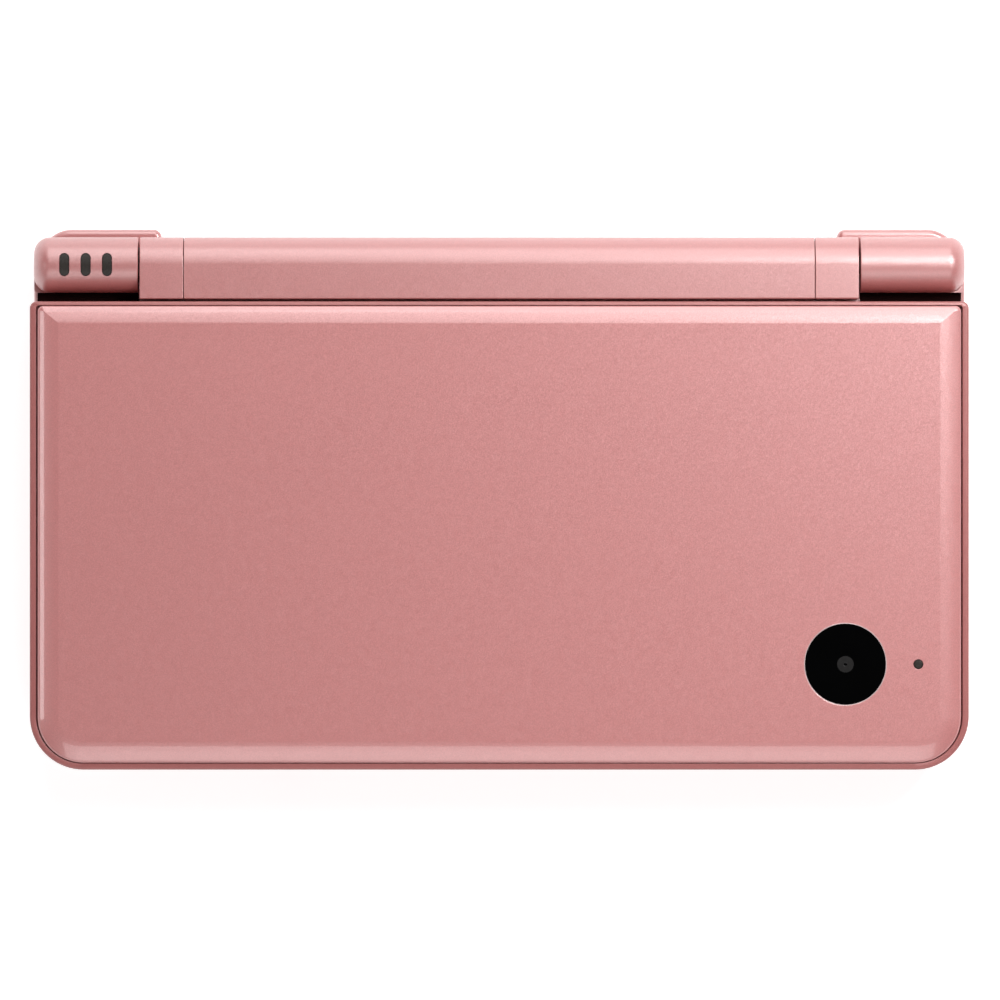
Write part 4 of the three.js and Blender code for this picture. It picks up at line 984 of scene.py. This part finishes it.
corners = ("front_left", "front_right", "back_left", "back_right")
size = bottomSize
caseScrews = [
    (x, y) for x in (-size["caseScrewX"], size["caseScrewX"])
    for y in (size["caseScrewFront"], size["caseScrewBack"])
]
wallMiddle = (floorTop + partingZ) / 2
baseBottomPiece = profiledPlate("baseBottomShell", baseSizes, [
    (baseSize["wall"], floorTop), (baseSize["wall"], partingZ), (groove, partingZ), (0, partingZ - groove),
    *reversed(roundedFoot(baseSize["floorEdge"], baseBottom, 10)),
], 16)
hatchSizes = centredSizes(size["hatchWidth"], size["hatchDepth"], hatchX, hatchY, size["hatchRadius"])
baySizes = centredSizes(size["bayWidth"], size["bayDepth"], hatchX, hatchY, size["bayRadius"])
cutOut(
    baseBottomPiece, recessCutter("hatchRecess", hatchSizes, baseBottom, size["hatchSkin"]),
    profiledPlate("batteryBay", baySizes, [(0, baseBottom - past), (0, floorTop + past)], 3),
)
feet = [(*nodeMiddle("foot_" + corner)[:2], baseBottom) for corner in corners]
footTools = [softHole("footRecess", size["footRadius"], size["footRecess"], foot) for foot in feet]
footTools += [
    roundBar("hatchScrewHole", size["screwRadius"], 0, size["screwDepth"], (x, hatchY, baseBottom), sides=24)
    for x in (-screwX, screwX)
]
footTools += [
    softHole("caseScrewWell", size["caseScrewRadius"], size["caseScrewDepth"], (x, y, baseBottom), 32)
    for x, y in caseScrews
]
cutOut(baseBottomPiece, joined("floorHoles", footTools))
cutOut(baseBottomPiece, *pocketCutters("bottomPocket"))
backWall = baseBack - baseSize["wall"] - size["wallCut"]
cardHalf = size["cardWidth"] / 2
chargerHalf, chargerRise = size["chargerWidth"] / 2, size["chargerHeight"] / 2
chargerX = nodeMiddle("charging_port")[0]
nose = size["noseHole"]
cutOut(
    baseBottomPiece,
    blockMesh("cardSlot", -cardHalf, cardHalf, backWall, baseBack + 2 * past, floorTop, partingZ + past),
    blockMesh(
        "chargerSlot", chargerX - chargerHalf, chargerX + chargerHalf, backWall, baseBack + 2 * past,
        wallMiddle - chargerRise, wallMiddle + chargerRise,
    ),
    turnedBody(
        "jackHole", [
            (nose + chamfer, -2 * past), (nose + chamfer, -size["noseLip"]), (nose, chamfer),
            (nose, size["noseDepth"]),
        ],
        (nodeMiddle("audio_jack")[0], baseFront, wallMiddle), "Y", 40,
    ),
    blockMesh(
        "doorOpening", baseRight - baseSize["wall"] - size["wallCut"], baseRight + 2 * past,
        doorLow.y + doorSize["side"], doorHigh.y - doorSize["side"],
        floorTop + doorSize["sill"], doorHigh.z + doorSize["head"],
    ),
    roundBar(
        "doorPinHole", doorSize["pinHole"], doorLow.y - doorSize["pinGap"], doorHigh.y + doorSize["pinGap"],
        doorPin, "Y", 16,
    ),
)
place(baseBottomPiece, basePaint, "rose_satin_base", "base", "base_bottom_shell")
print("lower shell of the base done")


# outline moved inwards along its corners' bisectors; points run anticlockwise
def insetOutline(points, distance, leastLean=0.3):
    moved = []
    count = len(points)
    for index in range(count):
        before, here, after = (Vector(points[(index + shift) % count]) for shift in (-1, 0, 1))
        first = (here - before).normalized()
        second = (after - here).normalized()
        inward = Vector((-first.y, first.x))
        bisector = (inward + Vector((-second.y, second.x))).normalized()
        moved.append(here + bisector * (distance / max(bisector.dot(inward), leastLean)))
    return moved


def bezierPoints(start, pullStart, pullEnd, end, steps):
    points = []
    for step in range(1, steps + 1):
        t = step / steps
        shares = ((1 - t) ** 3, 3 * t * (1 - t) ** 2, 3 * t ** 2 * (1 - t), t ** 3)
        corners = (start, pullStart, pullEnd, end)
        points.append(tuple(sum(s * corner[way] for s, corner in zip(shares, corners)) for way in (0, 1)))
    return points


# shoulder buttons, rounded over along their tops and wrapped round the corner
shoulderSize = dict(
    bend=5.7, bendDepth=5.8, pull=0.5, innerRadius=1.3, edge=0.9, lowEdge=0.5, pinHole=1.1, pinInset=2.3,
    pinDepth=10,
)
shoulderLow, shoulderHigh = nodeBox("shoulder_button_right")
size = shoulderSize
inner, outer, back = shoulderLow.x, shoulderHigh.x, shoulderHigh.y
bendX, bendY = outer - size["bend"], back - size["bendDepth"]
corner = size["innerRadius"]
shoulderOutline = [
    (inner, shoulderLow.y), (outer, shoulderLow.y), (outer, bendY),
    *bezierPoints(
        (outer, bendY), (outer, bendY + size["pull"] * size["bendDepth"]),
        (bendX + size["pull"] * size["bend"], back), (bendX, back), 16,
    ),
    *arcPoints(inner + corner, back - corner, corner, quarterTurn, 2 * quarterTurn, 8),
]
shoulderProfile = roundedFoot(size["lowEdge"], shoulderLow.z, 5)
shoulderProfile += roundedEdge(size["edge"], shoulderHigh.z, 8)
for side, node in ((1, "shoulder_button_right"), (-1, "shoulder_button_left")):
    outline = [(side * x, y) for x, y in shoulderOutline][::side]
    button = skinned(node + "_cap", [
        [(x, y, height) for x, y in insetOutline(outline, inset)] for inset, height in shoulderProfile
    ])
    pin = (side * (inner + size["pinInset"]), axisY, 0)
    cutOut(button, roundBar("shoulderPinHole", size["pinHole"], 0, size["pinDepth"], pin, sides=32))
    place(button, keyPaint, "rose_keys", node, node)


# near-black strips on the inner face that paint the shade in the gap between the lid and each knuckle, where
# only shadow falls
shadeStripSize = dict(front=34.0, back=35.5, thickness=0.25, sink=0.05, end=0.6, bevel=0.08)
size = shadeStripSize
for side, name in ((-1, "paintedShadeLinerLeft"), (1, "paintedShadeLinerRight")):
    shadeStrip = blockMesh(
        name, *sorted((side * knuckleInner, side * (baseRight - size["end"]))),
        size["front"], size["back"], faceZ - size["sink"], faceZ + size["thickness"],
    )
    bevelEdges(shadeStrip, size["bevel"])
    place(shadeStrip, paintedShadeLiner, "black_plastic", "base")


# caps of the keys, with soft shoulders and a faintly domed top
size = keySize
for node, key in keys.items():
    flangeTop = faceUnder - size["clearance"]
    flangeLow = flangeTop - size["flangeHeight"]
    flangeRadius = key["radius"] + size["flange"]
    shoulder = key["top"] - size["dome"]
    edge = size["smallEdge"] if key["radius"] < size["smallUnder"] else size["edge"]
    crown = key["radius"] - edge
    cap = turnedBody(node + "_cap", [
        (0, flangeLow), (flangeRadius, flangeLow), (flangeRadius, flangeTop), (key["radius"], flangeTop),
        *onRound(key["radius"], roundedEdge(edge, shoulder)),
        *((crown * share, shoulder + size["dome"] * (1 - share ** 2)) for share in size["domeShares"]),
    ], (key["x"], key["y"], 0), sides=56)
    place(cap, keyPaint, "rose_keys", node, node)


# direction pad on its flange
size = padSize
flangeTop = faceUnder - size["flangeDrop"]
flangeLow = flangeTop - size["flangeHeight"]
pad = crossBody("directionPadCross", [
    (size["half"], size["arm"], size["corner"], flangeLow + size["overlap"]),
    *(
        (size["half"] - inset, size["arm"] - inset, max(size["corner"] - inset, size["leastCorner"]), height)
        for inset, height in roundedEdge(size["edge"], padHigh.z)
    ),
])
addTo(pad, roundBar("padFlange", size["flangeRadius"], flangeLow, flangeTop, (padX, padY, 0), sides=64))
cutOut(pad, turnedBody("padDish", [
    (size["dishInner"], -size["dishDepth"]), (size["dishMiddle"], -size["dishShare"] * size["dishDepth"]),
    (size["dishRadius"], size["dishLip"]), (size["dishRadius"], past), (size["dishInner"], past),
], (padX, padY, padHigh.z)))
notches = []
notchProfile = [
    (size["barInset"], padHigh.z - size["barDepth"]), (0, padHigh.z - size["barEdge"]),
    (0, padHigh.z + past),
]
for wayX, wayY in ((1, 0), (0, 1), (-1, 0), (0, -1)):
    for step in range(size["bars"]):
        along = size["barFrom"] + step * size["barGap"]
        width, length = (size["barWidth"], size["barLength"])[::1 if wayX else -1]
        sizes = centredSizes(width, length, padX + wayX * along, padY + wayY * along, size["barCorner"])
        notches.append(profiledPlate("padNotch", sizes, notchProfile, 4))
cutOut(pad, joined("padNotches", notches))
place(pad, keyPaint, "rose_keys", "direction_pad", "direction_pad")
print("controls done")


# volume rocker: a rounded bar with a dip in the middle, on the flange that holds it in
size = rockerSize
flangeLeft = baseLeft + baseSize["wall"] + size["flangeGap"]
flange = blockMesh(
    "rockerFlange", flangeLeft, flangeLeft + size["flangeDepth"],
    rockerLow.y, rockerHigh.y, rockerLow.z, rockerHigh.z,
)
rockerOut = baseLeft - size["proud"]
capRings = []
for inset, height in [(0, rockerOut - flangeLeft - size["overlap"])] + roundedEdge(size["edge"], 0, 5):
    length, width = size["length"] - 2 * inset, size["height"] - 2 * inset
    outline = plateOutline(*centredSizes(length, width, rockerY, rockerZ, size["corner"] - inset), 8)
    capRings.append([(rockerOut - height, y, z) for y, z in outline])
rockerBar = skinned("volumeRockerBar", capRings)
addTo(rockerBar, flange)
cutOut(rockerBar, roundBar(
    "rockerDip", size["dipRadius"], rockerZ - size["dipHalf"], rockerZ + size["dipHalf"],
    (rockerOut - size["dipOut"], rockerY, 0), sides=32,
))
place(rockerBar, keyPaint, "rose_keys", "volume_rocker", "volume_rocker")


# cover of the memory card slot: a soft-edged plate with a nail notch, on its pin
size = doorSize
doorPlate = blockMesh(
    "cardDoor", baseRight - size["thickness"], baseRight,
    doorLow.y + size["inset"], doorHigh.y - size["inset"], doorLow.z, doorHigh.z,
)
bevelEdges(doorPlate, size["bevel"], 3)
addTo(doorPlate, roundBar("doorPin", size["pinRadius"], doorLow.y, doorHigh.y, doorPin, "Y", 24))
doorY = nodeMiddle("sd_cover")[1]
nailSizes = centredSizes(size["notchWidth"], size["notchLength"], baseRight, doorY, size["notchCorner"])
cutOut(doorPlate, profiledPlate("nailNotch", nailSizes, [
    (size["notchInset"], doorHigh.z - size["notchDepth"]), (0, doorHigh.z - size["notchFloor"]),
    (0, doorHigh.z + past),
], 5))
place(doorPlate, basePaint, "rose_satin_base", "sd_cover", "sd_cover")


# stylus: a tapered tip, a slim barrel with a groove, and a flat head with soft edges
stylusSize = dict(
    tip=7, tipRings=((0, 0), (0.3, 0.03), (0.46, 0.16), (0.53, 0.35)), taper=0.4, swell=0.3,
    step=0.05, head=6, cut=0.3, cutSlope=0.3, cutLength=0.9, endRound=0.3,
)
size = stylusSize
tipEnd = stylusLow.x + size["tip"]
neck = stylusHigh.x - size["head"]
stylus = turnedBody("stylusPen", [
    *((radius, stylusLow.x + along) for radius, along in size["tipRings"]),
    (stylusRadius - size["step"], tipEnd - size["taper"]), (stylusRadius, tipEnd + size["swell"]),
    (stylusRadius, neck), (stylusRadius - size["cut"], neck + size["cutSlope"]),
    (stylusRadius - size["cut"], neck + size["cutLength"] - size["cutSlope"]),
    (stylusRadius, neck + size["cutLength"]),
    *onRound(stylusRadius, roundedEdge(size["endRound"], stylusHigh.x, 5)),
    (0, stylusHigh.x),
], (0, stylusY, stylusZ), "X")
place(stylus, stylusPaint, "stylus_plastic", "stylus", "stylus")
print("rocker, card door and stylus done")


# battery hatch, with finger grooves towards the front, and the crosshead screws of the underside
hatchSize = dict(
    edge=0.12, radius=2, headRoom=1.6, headDepth=0.6, shankHole=0.8, ridges=6, ridgeFrom=3, ridgePitch=1.5,
    ridgeLength=14, ridgeWidth=0.6, ridgeCorner=0.29, ridgeFlare=0.1, ridgeTaper=0.12, ridgeDepth=0.25,
)
size = hatchSize
hatch = profiledPlate(
    "batteryHatch", (hatchLow.x, hatchHigh.x, hatchLow.y, hatchHigh.y, size["radius"], size["radius"]),
    [(size["edge"], hatchLow.z), (0, hatchLow.z + size["edge"]), (0, hatchHigh.z)], 10,
)
hatchTools = [
    softHole(
        "headRoom", size["headRoom"], size["headDepth"], (x, hatchY, hatchLow.z), 40,
        [(size["shankHole"], size["headDepth"]), (size["shankHole"], 2 * past)],
    )
    for x in (-screwX, screwX)
]
flare = -size["ridgeFlare"]
ridgeProfile = [
    (flare, hatchLow.z - past), (flare, hatchLow.z), (size["ridgeTaper"], hatchLow.z + size["ridgeDepth"]),
]
for ridge in range(size["ridges"]):
    y = hatchLow.y + size["ridgeFrom"] + ridge * size["ridgePitch"]
    sizes = centredSizes(size["ridgeLength"], size["ridgeWidth"], hatchX, y, size["ridgeCorner"])
    hatchTools.append(profiledPlate("ridgeCut", sizes, ridgeProfile, 5))
cutOut(hatch, joined("hatchCuts", hatchTools))
place(hatch, basePaint, "rose_satin_base", "base", "battery_cover")

screwSize = dict(edge=0.15, armShare=0.62, slotHalf=0.16, slotShare=0.6)
hatchScrew = dict(radius=1.5, height=0.5, shank=0.7, length=screwHigh.z - screwLow.z)
caseScrew = dict(radius=1.8, height=0.45, shank=0.8, length=1.0, sink=0.2)


def crossheadScrew(name, x, y, bottom, own):
    size = dict(screwSize, **own)
    headTop, end = bottom + size["height"], bottom + size["length"]
    screw = turnedBody(name, [
        (0, bottom), *onRound(size["radius"], roundedFoot(size["edge"], bottom, 4)),
        (size["radius"], headTop), (size["shank"], headTop), (size["shank"], end), (0, end),
    ], (x, y, 0), sides=40)
    arm, half = size["armShare"] * size["radius"], size["slotHalf"]
    for reachX, reachY in ((arm, half), (half, arm)):
        cutOut(screw, blockMesh(
            "screwSlot", x - reachX, x + reachX, y - reachY, y + reachY, bottom - past,
            bottom + size["slotShare"] * size["height"],
        ))
    return screw


for x, node in ((-screwX, "battery_screw_left"), (screwX, "battery_screw_right")):
    screw = crossheadScrew(node + "_head", x, hatchY, screwLow.z, hatchScrew)
    place(screw, steelFinish, "steel", "base", node)
for index, (x, y) in enumerate(caseScrews):
    screw = crossheadScrew("caseScrew%d" % (index + 1), x, y, baseBottom + caseScrew["sink"], caseScrew)
    place(screw, steelFinish, "steel", "base")


# feet and the bumpers on the lid's inner face: soft-edged rubber discs
for kind, body, edge, steps, sides in (("foot_", "base", 0.25, 5, 48), ("lid_bumper_", "lid", 0.35, 6, 40)):
    for corner in corners:
        node = kind + corner
        low, high = nodeBox(node)
        radius = (high.x - low.x) / 2
        disc = turnedBody(node + "_pad", [
            (0, low.z), *onRound(radius, roundedFoot(edge, low.z, steps)), (radius, high.z), (0, high.z),
        ], (*nodeMiddle(node)[:2], 0), sides=sides)
        place(disc, rubberFinish, "rubber", body, node)
print("hatch, screws and feet done")


# outer camera: a polished plate with the lens showing at its middle, in a trim ring with a real rounded edge
# whose pale colour also paints the bright highlight along that edge
cameraSize = dict(
    plate=6.95, edge=0.08, lens=1.42, lensDepth=0.2, domeShares=(0.9, 0.75, 0.6, 0.45, 0.3), sink=0.03,
    pupil=0.34, pupilEdge=0.05, pupilSink=0.02, pupilInner=0.06, pupilBevel=0.1, pupilLow=0.03,
    pupilTop=0.005,
)
# each ring of the trim as (distance beyond the plate, height over its underside or top)
trimLow = ((0.02, 0.1), (0.18, 0.1))
trimHigh = ((0.20, -0.14), (0.14, -0.03), (0.09, 0), (0.02, -0.07))
plateLow, plateHigh = nodeBox("outer_camera_window")
size = cameraSize
middle = (cameraX, cameraY, 0)
lensTop = plateHigh.z
plateTop = lensTop - size["sink"]
plate = turnedBody("cameraPlate", [
    (0, plateLow.z), (size["plate"], plateLow.z),
    *onRound(size["plate"], roundedEdge(size["edge"], plateTop, 4)), (0, plateTop),
], middle, sides=96)
place(plate, cameraGlass, "camera_glass", "lid", "outer_camera_window")
lensLow, pupilDip = plateTop - size["lensDepth"], lensTop - size["pupilSink"]
lens = turnedBody("cameraLensDome", [
    (0, lensLow), (size["lens"], lensLow), (size["lens"], plateTop),
    *((size["lens"] * share, lensTop - size["sink"] * share ** 2) for share in size["domeShares"]),
    (size["pupil"], lensTop), (size["pupil"] - size["pupilEdge"], pupilDip), (0, pupilDip),
], middle, sides=64)
place(lens, lensGlass, "camera_glass", "lid")
ring = turnedBody("cameraTrimRing", [
    *((size["plate"] + out, plateLow.z + up) for out, up in trimLow),
    *((size["plate"] + out, plateHigh.z + up) for out, up in trimHigh),
], middle, sides=96)
place(ring, trimRingHighlight, "rose_metallic_cover", "lid")
pupilLow, pupilTop = lensTop - size["pupilLow"], lensTop - size["pupilTop"]
pupil = turnedBody("cameraPupil", [
    (0, pupilLow), (size["pupil"] - size["pupilInner"], pupilLow),
    (size["pupil"] - size["pupilBevel"], pupilTop), (0, pupilTop),
], middle, sides=32)
place(pupil, cameraGlass, "camera_glass", "lid")

# camera light and inner camera, as (radius, height) rings over the underside or the top
lightLow, lightHigh = nodeBox("outer_camera_light")
flangeRings = ((0, 0), (1.5, 0), (1.5, 0.8), (0.75, 0.8))
domeRings = ((0.75, -0.12), (0.66, -0.03), (0.5, 0), (0, 0))
indicator = turnedBody("cameraIndicator", [
    *((radius, lightLow.z + up) for radius, up in flangeRings),
    *((radius, lightHigh.z + up) for radius, up in domeRings),
], (lightX, cameraY, 0), sides=40)
place(indicator, smokedGlass, "smoked_lights", "lid", "outer_camera_light")
eyeLow = nodeBox("inner_camera")[0]
eyeRings = ((0.5, 0.35), (0.9, 0.15), (1.0, 0), (1.7, 0), (1.8, 0.1), (1.8, 1.4), (0, 1.4))
eye = turnedBody("innerCameraEye", [(radius, eyeLow.z + up) for radius, up in eyeRings], (0, axisY, 0))
place(eye, cameraGlass, "camera_glass", "lid", "inner_camera")


# screens: polished windows with softened edges over the lit areas
windowProfile = ((0.12, 0.0), (0.0, 0.12), (0.0, 0.8))
areaSize = dict(sideBorder=5.5, frontBorder=4.0, corner=0.4, edge=0.04, proud=0.03, edgeDrop=0.02, depth=0.3)
size = areaSize
for node, body, face, way, name in (
    ("upper_window", "lid", lidFaceZ, 1, "upperScreen"), ("touch_window", "base", faceZ, -1, "touchScreen"),
):
    low, high = nodeBox(node)
    radius = frameSize["windowRadius"]
    glass = profiledPlate(
        name + "Glass", (low.x, high.x, low.y, high.y, radius, radius),
        [(inset, face + way * depth) for inset, depth in windowProfile], 10,
    )
    place(glass, screenGlass, "screen_glass", body, node)
    area = profiledPlate(
        name + "Area", (
            low.x + size["sideBorder"], high.x - size["sideBorder"],
            low.y + size["frontBorder"], high.y - size["frontBorder"], size["corner"], size["corner"],
        ),
        [(size["edge"], face - way * size["proud"]), (0, face - way * (size["proud"] - size["edgeDrop"])),
         (0, face + way * size["depth"])], 4,
    )
    place(area, screenArea, "screen_glass", body)
print("cameras and screens done")


# finishes of the pieces that keep their own solids, and the soft edge that they get
keptBevel = dict(width=0.06, angle=50)
keptFinishes = {
    displayFinish: ("upper_display", "lower_display"),
    blackPlastic: (
        "speaker_left", "speaker_right", "microphone", "outer_camera_lens", "card_socket", "sd_socket",
        "charging_port", "audio_jack", "direction_pad_pivot",
    ),
    # hinge steel is darkened so that the collar-knuckle gap shows painted shade
    shadeDarkSteel: ("hinge_cartridge", "hinge_pin", "hinge_tube"),
    steelFinish: ("lid_magnet", "shoulder_pin_left", "shoulder_pin_right"),
    rubberFinish: ("key_mat_left", "key_mat_right"),
    boardFinish: ("main_board",),
    batteryFinish: ("battery",),
}
for material, names in keptFinishes.items():
    for name in names:
        setFinish(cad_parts[name], material)
        addBevel(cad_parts[name], **keptBevel)
print("inner pieces finished")
